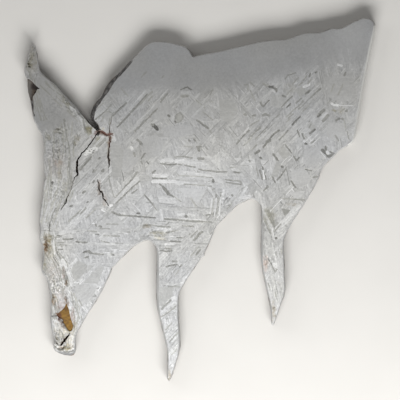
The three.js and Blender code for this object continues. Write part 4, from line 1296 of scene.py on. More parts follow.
def weathering(vert, roughness):
    """How far outwards the skin lies at a corner: soft hollows and fine grains, in metres."""
    hollow_pitch, hollow_depth = 0.55, 0.11
    grain_pitch, grain_depth = 1.5, 0.07
    grain_start = Vector((9, 4, 2))
    worn_off = 0.03
    spot = vert.co / MILLIMETRE
    hollows = hollow_depth * noise.noise(spot * hollow_pitch)
    grains = grain_depth * noise.noise(spot * grain_pitch + grain_start) * roughness
    return (hollows + grains - worn_off) * MILLIMETRE


def edge_roughness(spots):
    """How strong the fine grains of the skin are at plotted points."""
    most = 1.6
    rough = np.ones(len(spots))
    for middle, half_size in ROUGH_EDGES:
        offset = (spots - middle) / half_size
        rough = np.maximum(rough, 1 + most * np.exp(-(offset ** 2).sum(1)))
    return rough


def held_corners(skin, surfaces, spots):
    """Which corners of the skin stay put: the sawn end, the inclusion and the fissures."""
    held = np.zeros(len(spots), bool)
    for half_width, *path in FISSURES.values():
        held |= distance_to_path(spots, path) < half_width + HELD_MARGIN
    for face, surface in zip(skin.faces, surfaces):
        if surface in (SAWN, INCLUSION):
            held[[vert.index for vert in face.verts]] = True
    return held


def weather(skin, surfaces):
    """Small hollows and grains of the natural skin. The rims only move within their planes."""
    least_way = 0.2
    spots = plotted([vert.co[:2] for vert in skin.verts])
    roughness = edge_roughness(spots)
    held = held_corners(skin, surfaces, spots)
    moves = []
    for vert in skin.verts:
        way = vert.normal.copy()
        on_rim = vert.co.z > FACE_HEIGHT - WELD or vert.co.z < WELD
        if on_rim:
            way.z = 0
        if not held[vert.index] and way.length > least_way:
            moves.append((vert, way.normalized() * weathering(vert, roughness[vert.index])))
    low, high = cad_bounds
    for vert, move in moves:
        vert.co += move
        vert.co.x = min(max(vert.co.x, low[0]), high[0])
        vert.co.y = min(max(vert.co.y, low[1]), high[1])


def sealed(mesh):
    """Closes the hair-thin gaps that are left along the rims."""
    shell = bmesh.new()
    shell.from_mesh(mesh)
    open_corners = {vert for edge in shell.edges if edge.is_boundary for vert in edge.verts}
    bmesh.ops.remove_doubles(shell, verts=list(open_corners), dist=SEAL * SQUARE)
    open_faces = {face for edge in shell.edges if edge.is_boundary for face in edge.link_faces}
    flaps = [
        face for face in open_faces if any(len(edge.link_faces) > 2 for edge in face.edges)
    ]
    bmesh.ops.delete(shell, geom=flaps, context="FACES")
    gaps = [edge for edge in shell.edges if edge.is_boundary]
    made = bmesh.ops.holes_fill(shell, edges=gaps, sides=0)["faces"]
    bmesh.ops.triangulate(shell, faces=made)
    shell.to_mesh(mesh)
    shell.free()
    return mesh


def rim_loops(skin, height):
    """The rings of corners round the openings at a height, with the metal on their left."""
    edges = [
        edge for edge in skin.edges
        if edge.is_boundary and all(abs(vert.co.z - height) < WELD for vert in edge.verts)
    ]
    neighbours = {}
    for edge in edges:
        first, second = (vert.index for vert in edge.verts)
        neighbours.setdefault(first, []).append(second)
        neighbours.setdefault(second, []).append(first)
    rings = []
    for start in sorted(neighbours):
        ring = [start]
        while neighbours[ring[-1]]:
            onwards = neighbours[ring[-1]].pop(0)
            neighbours[onwards].remove(ring[-1])
            if onwards in ring:
                first = ring.index(onwards)
                rings.append(ring[first:])
                ring = ring[:first]
            ring.append(onwards)
    rings = [ring for ring in rings if len(ring) > 2]
    rings.sort(key=len, reverse=True)
    spots = plotted([skin.verts[index].co[:2] for index in range(len(skin.verts))])
    turned = []
    for number, ring in enumerate(rings):
        corners = spots[ring]
        area = cross(corners, np.roll(corners, -1, axis=0)).sum()
        outer = number == 0
        turned.append(ring if (area > 0) == outer else ring[::-1])
    return turned


class Shell:
    """The growing mesh: corners, triangles, and what each corner of a triangle is like."""

    def __init__(self, skin, surfaces):
        self.corners = [tuple(vert.co) for vert in skin.verts]
        self.triangles = [[tuple(vert.index for vert in face.verts) for face in skin.faces]]
        count = len(self.triangles[0])
        self.surfaces = [np.asarray(surfaces)]
        self.tones = [np.zeros((count, 3))]
        self.warmths = [np.zeros((count, 3))]
        self.etches = [np.zeros((count, 3))]
        self.headings = [np.tile([0.0, 1.0, 0.0], (count, 3, 1))]

    def add_face(self, rings, face, pieces, height, surface, upward):
        """Adds a laid out face, joined to the skin along the rings."""
        rim = [index for ring in rings for index in ring]
        numbers = np.full(len(face.points), -1)
        for point in np.unique(face.triangles):
            if face.rim_ids[point] >= 0:
                numbers[point] = rim[face.rim_ids[point]]
            else:
                numbers[point] = len(self.corners)
                self.corners.append((*place(*face.points[point]), height))
        triangles = face.triangles[:, ::-1] if upward else face.triangles
        shown = etched_share(face.points)[triangles]
        clear = clarity(face.points)[triangles]
        regions = regional_tone(face.points)[triangles]
        bare = Piece(None, 0.0, 0.0, math.radians(HEADINGS["steep"]), 0.5, True)
        table = [piece[1:] for piece in [*pieces, bare]]
        tone, warmth, angle, seed, grown, grain = np.array(table, float)[face.owners].T
        heading = np.stack([np.cos(angle), np.sin(angle), seed], 1)
        fading = np.where(grown[:, None] > 0, shown, 1.0)
        clear = np.where(grown[:, None] > 0, clear, np.maximum(clear, PLOTTED_CLARITY))
        contrast = np.where(tone < 0, DARK_CONTRAST, BRIGHT_CONTRAST)
        self.triangles.append([tuple(map(int, corners)) for corners in numbers[triangles]])
        self.surfaces.append(np.full(len(triangles), surface))
        self.tones.append((tone * contrast)[:, None] * clear * fading + regions)
        self.warmths.append(warmth[:, None] * fading)
        self.etches.append(shown * grain[:, None])
        self.headings.append(np.repeat(heading[:, None], 3, axis=1))
        return numbers

    def mesh(self, name):
        """The finished mesh with its attributes."""
        mesh = bpy.data.meshes.new(name)
        triangles = [triangle for group in self.triangles for triangle in group]
        mesh.from_pydata(self.corners, [], triangles)
        mesh.polygons.foreach_set("material_index", np.concatenate(self.surfaces))
        facts = {"tone": self.tones, "warmth": self.warmths, "etch": self.etches}
        for fact, values in facts.items():
            layer = mesh.attributes.new(fact, "FLOAT", "CORNER")
            layer.data.foreach_set("value", np.concatenate(values).ravel())
        layer = mesh.attributes.new("heading", "FLOAT_VECTOR", "CORNER")
        layer.data.foreach_set("vector", np.concatenate(self.headings).ravel())
        mesh.set_sharp_from_angle(angle=math.radians(SHARP_ANGLE))
        rounded = ~np.isin(np.concatenate(self.surfaces), (ETCHED, BACK))
        mesh.polygons.foreach_set("use_smooth", rounded)
        return mesh


def slice_mesh():
    """The whole slice as one closed mesh."""
    rng = random.Random(SEED)
    skin = refined_skin()
    surfaces = skin_surfaces(skin)
    close_fissures(skin)
    weather(skin, surfaces)
    shell = Shell(skin, surfaces)

    pieces = grown_plates(FACE_PLATES, rng) + grown_specks(FACE_SPECKS, rng)
    pieces += placed_fields(rng) + flow_lines(rng) + placed_marks(rng)
    rings = rim_loops(skin, FACE_HEIGHT)
    spots = plotted(np.array(shell.corners)[:, :2])
    face = laid_out_face([spots[ring] for ring in rings], pieces, FACE_SPACING, rng)
    numbers = shell.add_face(rings, face, pieces, FACE_HEIGHT, ETCHED, True)
    engrave(shell, face, numbers, pieces)

    back_pieces = grown_plates(BACK_PLATES, rng)
    rings = rim_loops(skin, 0.0)
    face = laid_out_face([spots[ring] for ring in rings], back_pieces, BACK_SPACING, rng)
    shell.add_face(rings, face, back_pieces, 0.0, BACK, False)
    return sealed(shell.mesh("etched_slice"))


def engrave(shell, face, numbers, pieces):
    """Sinks the dark marks a little and lets the rims of the etched face turn down."""
    tones = np.array([piece.tone for piece in pieces] + [0.0])[face.owners]
    depths = np.clip(tones / DEEPEST_TONE, 0, 1) * DEEPEST_MARK
    total = np.zeros(len(face.points))
    count = np.zeros(len(face.points))
    for column in range(3):
        np.add.at(total, face.triangles[:, column], depths)
        np.add.at(count, face.triangles[:, column], 1)
    for point in np.unique(face.triangles):
        index = numbers[point]
        across, along, height = shell.corners[index]
        on_rim = face.rim_ids[point] >= 0
        drop = RIM_DROP if on_rim else total[point] / count[point]
        shell.corners[index] = (across, along, height - drop)


def linear(red, green, blue):
    """A colour given as it looks on a screen, from 0 to 255, as scene light."""
    return tuple(((value / 255) ** 2.2) for value in (red, green, blue)) + (1.0,)


# Where the natural skin stays dark right up to the face, partly its own dark crust and partly painted
# shade on the sides that face away from the light, as at the hump's left side and the notch: place
# and half size.
DARK_SKIN_AND_SHADE = [
    ((92, 117), (10, 16)), ((95, 104), (10, 12)), ((100, 95), (10, 10)), ((106, 89), (9, 9)),
    ((112, 82), (9, 9)), ((118, 75), (9, 9)), ((124, 69), (8, 8)), ((129, 64), (6, 6)),
    ((31, 106), (5, 18)), ((97, 129), (7, 6)),
]

# Patches on the walls of the fissures, on the inclusion and in the chip: place, half size,
# strength and colour. Pale walls are where a fissure is nearly closed, red ones are rust.
WALL_PATCHES = [
    ((71.6, 187), (5, 12), 0.75, (176, 171, 163)), ((110, 122), (3, 7), 0.75, (176, 171, 163)),
    ((104, 133), (11, 4), 1, (82, 55, 47)), ((109.6, 141), (4, 10), 1, (82, 55, 47)),
]
INCLUSION_PATCHES = [((58.6, 315.6), (4.2, 4.4), 1, (80, 49, 26))]
CHIP_PATCHES = [((29.4, 90), (3.4, 15), 1, (88, 84, 80)), ((35, 86), (6, 5), 1, (36, 26, 22))]

# Where the metal is crumbled, with dark specks and bright grains painted as glints: place, half size
# and strength.
CRUMBLED = [
    ((33, 52), (6, 9), 0.4), ((35, 74), (8, 9), 0.3), ((54, 106), (18, 20), 0.2),
    ((54, 286), (10, 16), 0.85), ((51, 303), (6, 9), 0.9), ((57, 336), (9, 9), 0.8),
    ((62, 346), (12, 6), 1.0), ((57, 268), (8, 18), 0.45), ((46, 246), (6, 14), 0.7),
    ((29, 62), (6, 9), 0.7), ((70, 104), (9, 9), 0.6), ((76, 112), (7, 6), 0.7),
    ((47, 134), (5, 6), 0.5), ((60, 130), (7, 6), 0.6), ((90, 151), (9, 5), 0.6),
    ((100, 190), (6, 12), 0.5), ((56, 150), (14, 22), 0.6), ((58, 190), (12, 18), 0.5),
    ((106, 207), (9, 6), 0.5), ((65, 322), (10, 16), 0.5), ((204, 256), (4, 6), 0.6),
    ((226, 200), (9, 12), 0.6), ((224, 150), (14, 14), 0.5), ((270, 262), (7, 9), 0.6),
    ((158, 233), (20, 8), 0.6),
]

# The etched iron, plain and in the warm dark marks, and the tints between which its hue drifts.
IRON = (0.66, 0.66, 0.66, 1)
WARM_IRON = (0.6, 0.59, 0.5, 1)
COOL_TINT = (0.994, 1, 1.004, 1)
WARM_TINT = (1.005, 1, 0.975, 1)

# The worn edge of the natural skin, and its darker stretch under the muzzle: place and half size.
WORN_SKIN = (0.36, 0.36, 0.355, 1)
MUZZLE_SKIN = (0.17, 0.17, 0.17, 1)
MUZZLE_EDGE = ((66, 354), (14, 5))

# What a stain or a painted highlight does to the colour of the metal under it.
TINTS = {
    "rust": (0.55, 0.42, 0.32, 1),
    "brown": (0.42, 0.27, 0.17, 1),
    "olive": (0.66, 0.62, 0.46, 1),
    "tan": (0.66, 0.6, 0.5, 1),
    "pink": (0.98, 0.86, 0.8, 1),
    "cream": (1.16, 1.11, 0.98, 1),
    # Not a stain: this tint brightens the metal as a painted glint.
    "white glint": (1.22, 1.22, 1.2, 1),
    "dark": (0.5, 0.48, 0.44, 1),
    "plum": (0.66, 0.53, 0.5, 1),
    "warm": (1.0, 0.965, 0.89, 1),
    "deep rust": (0.36, 0.24, 0.19, 1),
    "dark plum": (0.42, 0.31, 0.3, 1),
}

# Stains on the etched face, and a few painted highlights: tint, place, half width, half height and
# strength.
STAINS = [
    ("olive", (89, 129.5), (4, 5.5), 0.9),
    ("deep rust", (98, 131.6), (2.6, 3), 1.0),
    ("dark plum", (95.6, 133.4), (1.8, 3), 0.9),
    ("plum", (92.6, 138.4), (1.6, 4), 0.5),
    ("deep rust", (101, 132.6), (2.6, 2.4), 1.0),
    ("deep rust", (104, 134), (2.6, 2.4), 1.0),
    ("deep rust", (107.4, 135), (3, 2.2), 1.0),
    ("deep rust", (111, 134.2), (2.6, 2), 0.8),
    ("rust", (109.4, 139), (1.8, 7), 0.9),
    ("tan", (108.6, 150), (2, 12), 0.7),
    ("olive", (98, 138.6), (3.4, 3), 0.5),
    ("cream", (102.6, 128.4), (2, 1.8), 0.9),
    ("rust", (99, 187), (2.2, 9), 0.6),
    ("rust", (105, 200), (3, 7), 0.45),
    ("tan", (47, 245), (5.4, 14), 0.9),
    ("rust", (45.8, 246), (2.8, 9), 0.9),
    ("brown", (46, 247), (1.4, 6), 0.6),
    ("olive", (49.6, 240), (2.4, 6), 0.7),
    ("plum", (54, 272), (9, 15), 0.15),
    ("plum", (73, 316), (2.4, 11), 0.6),
    ("tan", (74.4, 326), (3, 4.6), 0.7),
    ("dark plum", (59.4, 318.6), (2.6, 2.4), 1.0),
    ("dark plum", (62, 322.4), (2.4, 2.6), 0.9),
    ("dark plum", (64.4, 326.6), (2, 2.6), 0.7),
    ("plum", (61, 306), (5, 5), 0.5),
    ("brown", (67, 304), (3, 4), 0.5),
    ("brown", (56.6, 314), (3, 2.6), 1.0),
    ("plum", (56, 162), (14, 20), 0.15),
    ("pink", (58, 163), (6, 5), 0.7),
    ("tan", (59.6, 174), (3, 5), 0.4),
    ("olive", (65, 186), (3, 7), 0.4),
    ("olive", (49, 138), (4, 3), 0.35),
    ("olive", (57, 131), (5, 3), 0.4),
    ("olive", (76, 143), (3, 3.4), 0.4),
    ("rust", (49, 200), (1.6, 2.4), 0.4),
    ("rust", (86, 178), (1.6, 1.2), 0.5),
    ("olive", (44.4, 264), (3.2, 9), 0.6),
    ("olive", (112, 98), (14, 14), 0.12),
    ("rust", (45.4, 178.5), (2.2, 3), 0.7),
    ("rust", (66.2, 283), (2, 3.6), 1.0),
    ("plum", (63.6, 273), (2, 8), 0.6),
    ("tan", (146, 226), (6, 2.8), 0.8),
    ("olive", (158, 234), (10, 4), 0.6),
    ("cream", (160, 238.4), (7, 2), 0.7),
    ("pink", (265, 263), (4.4, 9.5), 1.0),
    ("olive", (270, 216), (7, 10), 0.35),
    ("tan", (52.4, 299), (3.4, 6), 0.6),
    ("pink", (60, 299), (10, 14), 0.3),
    ("warm", (70, 330), (9, 24), 0.5),
    ("tan", (63, 97), (3, 7), 0.3),
    ("olive", (68, 104), (3, 4), 0.4),
    ("rust", (266, 264.7), (1.6, 1.8), 0.6),
    ("tan", (169, 377), (4, 9), 0.9),
    ("tan", (273, 312), (4, 13), 0.7),
    ("olive", (29.5, 64.7), (3, 3.6), 0.6),
    ("olive", (35, 62.7), (2, 2), 0.6),
    ("tan", (78, 138), (4, 3), 0.5),
    # Painted highlights: small white glints, and in the muzzle a cream one.
    ("white glint", (87, 152), (7, 4.4), 0.7),
    ("white glint", (106, 207), (8, 6), 0.6),
    ("white glint", (131, 147.6), (3, 2.6), 0.6),
    ("white glint", (57.6, 347), (2.4, 2.4), 0.8),
    ("cream", (67.6, 344.6), (1.7, 1.5), 0.8),
    ("tan", (70, 346), (5, 4.6), 0.7),
    ("olive", (66, 348.4), (4.6, 2), 0.8),
    ("dark", (55, 338), (3, 7.6), 0.9),
    ("dark", (60, 350.4), (5.4, 2.2), 0.8),
    ("brown", (62, 348), (4, 2), 0.5),
    ("tan", (57.4, 322.6), (5, 4), 0.5),
    ("tan", (62.6, 329), (5, 4), 0.4),
    ("warm", (62, 338), (15, 18), 0.9),
    ("warm", (50, 266), (8, 26), 0.4),
    ("warm", (31, 58), (9, 18), 0.9),
    ("tan", (292.5, 204.5), (8, 2), 0.5),
    ("olive", (334.5, 110.5), (3.2, 2.2), 0.6),
    ("cream", (341, 110.5), (4, 5), 0.4),
    ("olive", (290, 89), (8, 8), 0.2),
    ("cream", (54, 300), (3, 5), 0.6),
    ("brown", (52.6, 300), (3.4, 5), 0.5),
    ("olive", (52, 256), (3, 6), 0.3),
    ("brown", (66.4, 300), (1.6, 4), 0.7),
]


class Shader:
    """Makes the nodes of one material."""

    def __init__(self, name):
        self.material = bpy.data.materials.new(name)
        self.material.use_nodes = True
        self.tree = self.material.node_tree
        self.tree.nodes.clear()
        self.place = self.node("ShaderNodeTexCoord").outputs["Object"]

    def node(self, kind, inputs=None, **settings):
        """A node with its settings, and its inputs set to a value or linked to a socket."""
        made = self.tree.nodes.new(kind)
        for name, value in settings.items():
            setattr(made, name, value)
        for name, value in (inputs or {}).items():
            if isinstance(value, bpy.types.NodeSocket):
                self.tree.links.new(value, made.inputs[name])
            else:
                made.inputs[name].default_value = value
        return made

    def math(self, operation, first, second=0.0, clamp=False, third=0.5):
        """One sum on numbers. Only some operations use the third one."""
        inputs = {0: first, 1: second, 2: third}
        made = self.node("ShaderNodeMath", inputs, operation=operation, use_clamp=clamp)
        return made.outputs[0]

    def add(self, first, *others):
        """The sum of two or more values."""
        for other in others:
            first = self.math("ADD", first, other)
        return first

    def times(self, first, second, clamp=False):
        """The product of two values."""
        return self.math("MULTIPLY", first, second, clamp)

    def axis(self, number):
        """How far along x, y or z a point of the slice lies."""
        return self.node("ShaderNodeSeparateXYZ", {0: self.place}).outputs[number]

    def vector(self, operation, first, second=(0, 0, 0)):
        """One sum on vectors, which gives a vector or a number."""
        made = self.node("ShaderNodeVectorMath", {0: first, 1: second}, operation=operation)
        return made.outputs["Value" if operation in ("LENGTH", "DOT_PRODUCT") else "Vector"]

    def join(self, x, y, z):
        """Three numbers as a vector."""
        return self.node("ShaderNodeCombineXYZ", {"X": x, "Y": y, "Z": z}).outputs[0]

    def noise(self, size, where=None, detail=3.0, roughness=0.55):
        """Noise from 0 to 1 whose patches are about this many metres wide."""
        inputs = {"Vector": where or self.place, "Scale": 1 / size, "Detail": detail,
                  "Roughness": roughness}
        return self.node("ShaderNodeTexNoise", inputs).outputs["Fac"]

    def remap(self, value, low, high, to_low=0.0, to_high=1.0, smooth=False):
        """A value between low and high, moved between two others and held there."""
        inputs = {"Value": value, "From Min": low, "From Max": high, "To Min": to_low,
                  "To Max": to_high}
        kind = "SMOOTHSTEP" if smooth else "LINEAR"
        return self.node("ShaderNodeMapRange", inputs, interpolation_type=kind).outputs[0]

    def mix(self, share, first, second, blend="MIX"):
        """The first colour, with this share of the second on it."""
        inputs = {0: share, 6: first, 7: second}
        made = self.node("ShaderNodeMix", inputs, data_type="RGBA", blend_type=blend)
        return made.outputs[2]

    def attribute(self, name, output="Fac"):
        """What the mesh says about a corner under this name."""
        return self.node("ShaderNodeAttribute", attribute_name=name).outputs[output]

    def blotch(self, spot, half_size, where):
        """A soft spot on the face: 1 in its middle and 0 past its edge."""
        edge, core = 1.15, 0.35
        middle = Vector((*place(*spot), 0))
        scale = (1 / (half_size[0] * SQUARE), 1 / (half_size[1] * SQUARE), 0)
        offset = self.vector("MULTIPLY", self.vector("SUBTRACT", where, middle), scale)
        return self.remap(self.vector("LENGTH", offset), edge, core, smooth=True)

    def patched(self, colour, patches):
        """A colour with soft patches over it: place, half size, strength and colour of each."""
        for spot, half_size, strength, patch in patches:
            share = self.times(self.blotch(spot, half_size, self.place), strength)
            colour = self.mix(share, colour, linear(*patch))
        return colour

    def bump(self, height, distance, strength=1.0):
        """Fine relief whose height from 0 to 1 means this distance in metres."""
        inputs = {"Height": height, "Distance": distance, "Strength": strength}
        return self.node("ShaderNodeBump", inputs).outputs["Normal"]

    def finish(self, colour, metallic, roughness, normal=None):
        """The material with its surface joined up."""
        inputs = {"Base Color": colour, "Metallic": metallic, "Roughness": roughness}
        if normal is not None:
            inputs["Normal"] = normal
        surface = self.node("ShaderNodeBsdfPrincipled", inputs).outputs[0]
        self.node("ShaderNodeOutputMaterial", {"Surface": surface})
        return self.material


def streaks(shader, length, width, start=0):
    """Noise drawn out along the plates, different in each plate."""
    shift = 37
    heading = shader.attribute("heading", "Vector")
    parts = shader.node("ShaderNodeSeparateXYZ", {0: heading}).outputs
    along = shader.vector("DOT_PRODUCT", shader.place, shader.join(parts[0], parts[1], 0))
    back = shader.times(parts[1], -1)
    across = shader.vector("DOT_PRODUCT", shader.place, shader.join(back, parts[0], 0))
    seed = shader.math("MULTIPLY_ADD", parts[2], shift, third=start)
    where = shader.join(shader.times(along, 1 / length), shader.times(across, 1 / width), seed)
    return shader.noise(1.0, where, 2.0)


def centred(shader, value, size):
    """Noise from 0 to 1 as a change from -size to size."""
    return shader.times(shader.math("SUBTRACT", value, 0.5), 2 * size)


def etched_specks(shader):
    """Tiny dark dashes and bright flecks along the plates, as a change of tone."""
    dashes = streaks(shader, 1.5 * MILLIMETRE, 0.42 * MILLIMETRE, 5)
    flecks = streaks(shader, 1.1 * MILLIMETRE, 0.5 * MILLIMETRE, 11)
    return shader.add(shader.remap(dashes, 0.33, 0.45, -0.27, 0),
                      shader.remap(flecks, 0.56, 0.68, 0, 0.28))


def crumbled_specks_and_glints(shader):
    """Dark specks and bright grains painted as glints where the metal is crumbled, as a change of
    tone.
    """
    specks_and_glints = shader.noise(0.62 * MILLIMETRE, detail=2)
    specks_and_glints = shader.add(shader.remap(specks_and_glints, 0.36, 0.47, -0.42, 0),
                       shader.remap(specks_and_glints, 0.54, 0.64, 0, 0.32))
    crumbs = 0.0
    for spot, half_size, strength in CRUMBLED:
        zone = shader.times(shader.blotch(spot, half_size, shader.place), strength)
        crumbs = shader.math("MAXIMUM", zone, crumbs)
    return shader.times(specks_and_glints, crumbs)


def stained(shader, colour):
    """A colour of the etched face under its patchy stains, whose edges wander."""
    reach = 2 * MILLIMETRE
    scale = 700.0
    wander = shader.node("ShaderNodeTexNoise", {"Vector": shader.place, "Scale": scale})
    wobble = shader.vector("SUBTRACT", wander.outputs["Color"], (0.5, 0.5, 0.5))
    wobble = shader.vector("MULTIPLY", wobble, (reach, reach, 0))
    where = shader.vector("ADD", shader.place, wobble)
    patchy = shader.remap(shader.noise(1.1 * MILLIMETRE), 0.36, 0.58, 0.3, 1.2)
    for tint, spot, half_size, strength in STAINS:
        share = shader.times(shader.blotch(spot, half_size, where), strength)
        share = shader.times(share, patchy, clamp=True)
        colour = shader.mix(share, colour, TINTS[tint], "MULTIPLY")
    return colour


def etched_iron_material(name, with_stains):
    """Frosted, etched iron: every plate has its own tone and a fine grain along it."""
    shader = Shader(name)
    etch = shader.attribute("etch")
    fine = centred(shader, streaks(shader, 3.2 * MILLIMETRE, 0.34 * MILLIMETRE), 0.24)
    broad = centred(shader, streaks(shader, 11 * MILLIMETRE, 1.3 * MILLIMETRE), 0.2)
    pattern = shader.times(shader.add(fine, broad), etch)
    grain = centred(shader, shader.noise(0.6 * MILLIMETRE, detail=3, roughness=0.7), 0.46)
    drift = centred(shader, shader.noise(14 * MILLIMETRE), 0.075)
    upper_row, lower_row = (place(0, row)[1] for row in (110, 330))
    low = shader.times(shader.remap(shader.axis(1), upper_row, lower_row, 0.35, 1.0), etch)
    specks = shader.times(etched_specks(shader), low)
    coarse_grain = shader.times(grain, shader.remap(low, 0, 1, 0.3, 1.0))
    change = shader.add(shader.attribute("tone"), pattern, specks, crumbled_specks_and_glints(shader),
                        coarse_grain, drift)
    base = shader.mix(shader.attribute("warmth"), IRON, WARM_IRON)
    hue = shader.remap(shader.noise(24 * MILLIMETRE, detail=1), 0.38, 0.62)
    hue = shader.mix(hue, COOL_TINT, WARM_TINT)
    base = shader.mix(1.0, base, hue, "MULTIPLY")
    light = {0: base, "Scale": shader.add(change, 1.0)}
    colour = shader.node("ShaderNodeVectorMath", light, operation="SCALE").outputs["Vector"]
    if with_stains:
        colour = stained(shader, colour)
    rough = shader.remap(change, -0.6, 0.3, 0.408, 0.473)
    normal = shader.bump(shader.add(pattern, grain), 0.05 * MILLIMETRE, 0.6)
    return shader.finish(colour, metallic=0.85, roughness=rough, normal=normal)


def crust_material():
    """Natural skin: matt grey-brown iron oxide with rusty hollows, worn grey near the face, and dark
    up to the face in places, partly as painted shade.
    """
    shader = Shader("natural_crust")
    mottle = shader.noise(1.6 * MILLIMETRE, detail=5, roughness=0.6)
    fine = shader.noise(0.4 * MILLIMETRE, detail=3)
    colour = shader.mix(
        shader.remap(mottle, 0.36, 0.64), linear(88, 82, 76), linear(128, 124, 118))
    rusty = shader.remap(shader.noise(2.7 * MILLIMETRE), 0.56, 0.68, smooth=True)
    colour = shader.mix(rusty, colour, linear(104, 82, 60))
    colour = shader.mix(shader.remap(fine, 0.35, 0.6, 0.5, 0), colour, linear(58, 52, 48))
    level = shader.add(shader.axis(2), centred(shader, mottle, 0.8 * MILLIMETRE))
    worn = shader.remap(level, 0.56 * FACE_HEIGHT, 0.8 * FACE_HEIGHT, smooth=True)
    # Dark up to the face: partly dark crust, partly painted shade where the edge faces away from the
    # light.
    dark_skin_and_shade = 0.0
    for spot, half_size in DARK_SKIN_AND_SHADE:
        dark = shader.blotch(spot, half_size, shader.place)
        worn = shader.math("SUBTRACT", worn, dark, clamp=True)
        dark_skin_and_shade = shader.math("MAXIMUM", dark, dark_skin_and_shade)
    black = shader.times(shader.remap(level, 0.5 * FACE_HEIGHT, 0.75 * FACE_HEIGHT), dark_skin_and_shade)
    bands = shader.noise(1.0, shader.vector("MULTIPLY", shader.place, (700, 700, 2600)), 3)
    dull = shader.mix(shader.remap(bands, 0.4, 0.6), linear(42, 40, 40), linear(92, 90, 88))
    colour = shader.mix(black, colour, dull)
    muzzle = shader.blotch(*MUZZLE_EDGE, shader.place)
    colour = shader.mix(worn, colour, shader.mix(muzzle, WORN_SKIN, MUZZLE_SKIN))
    metallic = shader.remap(worn, 0, 1, 0.2, 0.3)
    rough = shader.remap(worn, 0, 1, 0.62, 0.6)
    normal = shader.bump(shader.add(mottle, fine), 0.12 * MILLIMETRE, 0.6)
    return shader.finish(colour, metallic, rough, normal)


def sawn_material():
    """The straight end, where a saw went down: bright iron with fine level scratches."""
    shader = Shader("sawn_end")
    where = shader.vector("MULTIPLY", shader.place, (260, 260, 5200))
    scratches = shader.noise(1.0, where, 3)
    colour = shader.mix(scratches, linear(170, 170, 167), linear(208, 208, 204))
    normal = shader.bump(scratches, 0.03 * MILLIMETRE, 0.6)
    return shader.finish(colour, metallic=0.25, roughness=0.36, normal=normal)


def fissure_material():
    """The walls of the fissures: near black, with dark rust in places."""
    shader = Shader("fissure_rust")
    rusty = shader.remap(shader.noise(1.4 * MILLIMETRE), 0.42, 0.62)
    colour = shader.mix(rusty, linear(24, 19, 16), linear(82, 54, 34))
    mouth = FACE_HEIGHT - 1.2 * MILLIMETRE
    shallow = shader.remap(shader.axis(2), mouth, FACE_HEIGHT, smooth=True)
    colour = shader.mix(shallow, colour, linear(112, 106, 100))
    colour = shader.patched(colour, WALL_PATCHES)
    normal = shader.bump(shader.noise(0.5 * MILLIMETRE), 0.2 * MILLIMETRE)
    return shader.finish(colour, metallic=0.0, roughness=0.8, normal=normal)


def inclusion_material():
    """The weathered inclusion: golden brown rust, darker and redder towards its edges."""
    shader = Shader("weathered_inclusion")
    mottle = shader.noise(1.3 * MILLIMETRE, detail=5, roughness=0.6)
    colour = shader.mix(
        shader.remap(mottle, 0.38, 0.62), linear(86, 60, 17), linear(122, 92, 31))
    colour = shader.patched(colour, INCLUSION_PATCHES)
    normal = shader.bump(mottle, 0.16 * MILLIMETRE)
    return shader.finish(colour, metallic=0.0, roughness=0.7, normal=normal)


def chip_material():
    """The chip in the horn: dark brown skin with a few grey grains."""
    shader = Shader("chipped_skin")
    mottle = shader.noise(1.1 * MILLIMETRE, detail=5, roughness=0.62)
    colour = shader.mix(shader.remap(mottle, 0.38, 0.64), linear(50, 40, 34), linear(92, 82, 72))
    colour = shader.patched(colour, CHIP_PATCHES)
    normal = shader.bump(mottle, 0.3 * MILLIMETRE)
    return shader.finish(colour, metallic=0.1, roughness=0.7, normal=normal)


def slice_materials():
    """The materials in the order of the surface numbers."""
    made = {
        CRUST: crust_material(),
        ETCHED: etched_iron_material("etched_face", True),
        SAWN: sawn_material(),
        FISSURE: fissure_material(),
        INCLUSION: inclusion_material(),
        CHIPPED: chip_material(),
        BACK: etched_iron_material("etched_back", False),
    }
    return [made[number] for number in sorted(made)]


def add_slice():
    """The slice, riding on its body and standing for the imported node."""
    mesh = slice_mesh()
    for material in slice_materials():
        mesh.materials.append(material)
    piece = bpy.data.objects.new("etched_slice", mesh)
    bpy.context.scene.collection.objects.link(piece)
    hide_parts(NODE)
    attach(piece, BODY)
    return piece


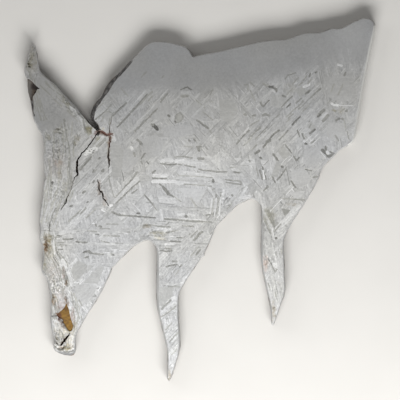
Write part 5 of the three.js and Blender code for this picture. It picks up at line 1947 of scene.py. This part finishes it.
def add_floor():
    """A plain pale table, a hair below the slice."""
    half = 2.5
    gap = 0.02 * MILLIMETRE
    mesh = bpy.data.meshes.new("floor")
    corners = [(-half, -half, 0), (half, -half, 0), (half, half, 0), (-half, half, 0)]
    mesh.from_pydata(corners, [], [(0, 1, 2, 3)])
    shader = Shader("pale_table")
    tone = shader.noise(0.02, detail=2)
    colour = shader.mix(tone, linear(186, 184, 180), linear(191, 189, 185))
    mesh.materials.append(shader.finish(colour, metallic=0.0, roughness=0.9))
    floor = bpy.data.objects.new("floor", mesh)
    floor.location.z = -gap
    bpy.context.scene.collection.objects.link(floor)


# Soft lights: name, place, the point they face, width and depth in metres, and power in watts.
LIGHTS = [
    ("front_softbox", (0.02, -0.31, 0.25), (0, -0.02, 0), (0.4, 0.2), 3.4),
    ("far_fill", (-0.1, 0.75, 0.3), (0, 0.05, 0), (0.9, 0.4), 1.9),
    ("left_fill", (-0.6, 0.3, 0.32), (0, 0, 0), (0.5, 0.4), 1.4),
]


def add_light(name, at, aim, size, power):
    """A soft square light that the camera doesn't see."""
    light = bpy.data.lights.new(name, "AREA")
    light.shape = "RECTANGLE"
    light.size, light.size_y = size
    light.energy = power
    lamp = bpy.data.objects.new(name, light)
    lamp.location = at
    lamp.rotation_euler = (Vector(aim) - Vector(at)).to_track_quat("-Z", "Y").to_euler()
    lamp.visible_camera = False
    bpy.context.scene.collection.objects.link(lamp)


def add_lights():
    """A low soft light from the front, two weaker ones and a dim pale room all round."""
    for light in LIGHTS:
        add_light(*light)
    world = bpy.data.worlds.new("pale_room")
    world.use_nodes = True
    background = world.node_tree.nodes["Background"]
    background.inputs["Color"].default_value = (1, 1, 1, 1)
    background.inputs["Strength"].default_value = 0.15
    bpy.context.scene.world = world


def add_camera():
    """Straight above the slice, far off, so that the view is nearly without perspective."""
    height = 1.2
    picture = PAPER_SIDE * SQUARE
    camera = bpy.data.cameras.new("camera")
    camera.sensor_width = 36
    camera.lens = camera.sensor_width * (height - FACE_HEIGHT) / picture
    holder = bpy.data.objects.new("camera", camera)
    holder.location = (*place(PAPER_SIDE / 2, PAPER_SIDE / 2), height)
    bpy.context.scene.collection.objects.link(holder)
    bpy.context.scene.camera = holder


bpy.context.scene.view_settings.view_transform = "Standard"
add_slice()
add_floor()
add_lights()
add_camera()
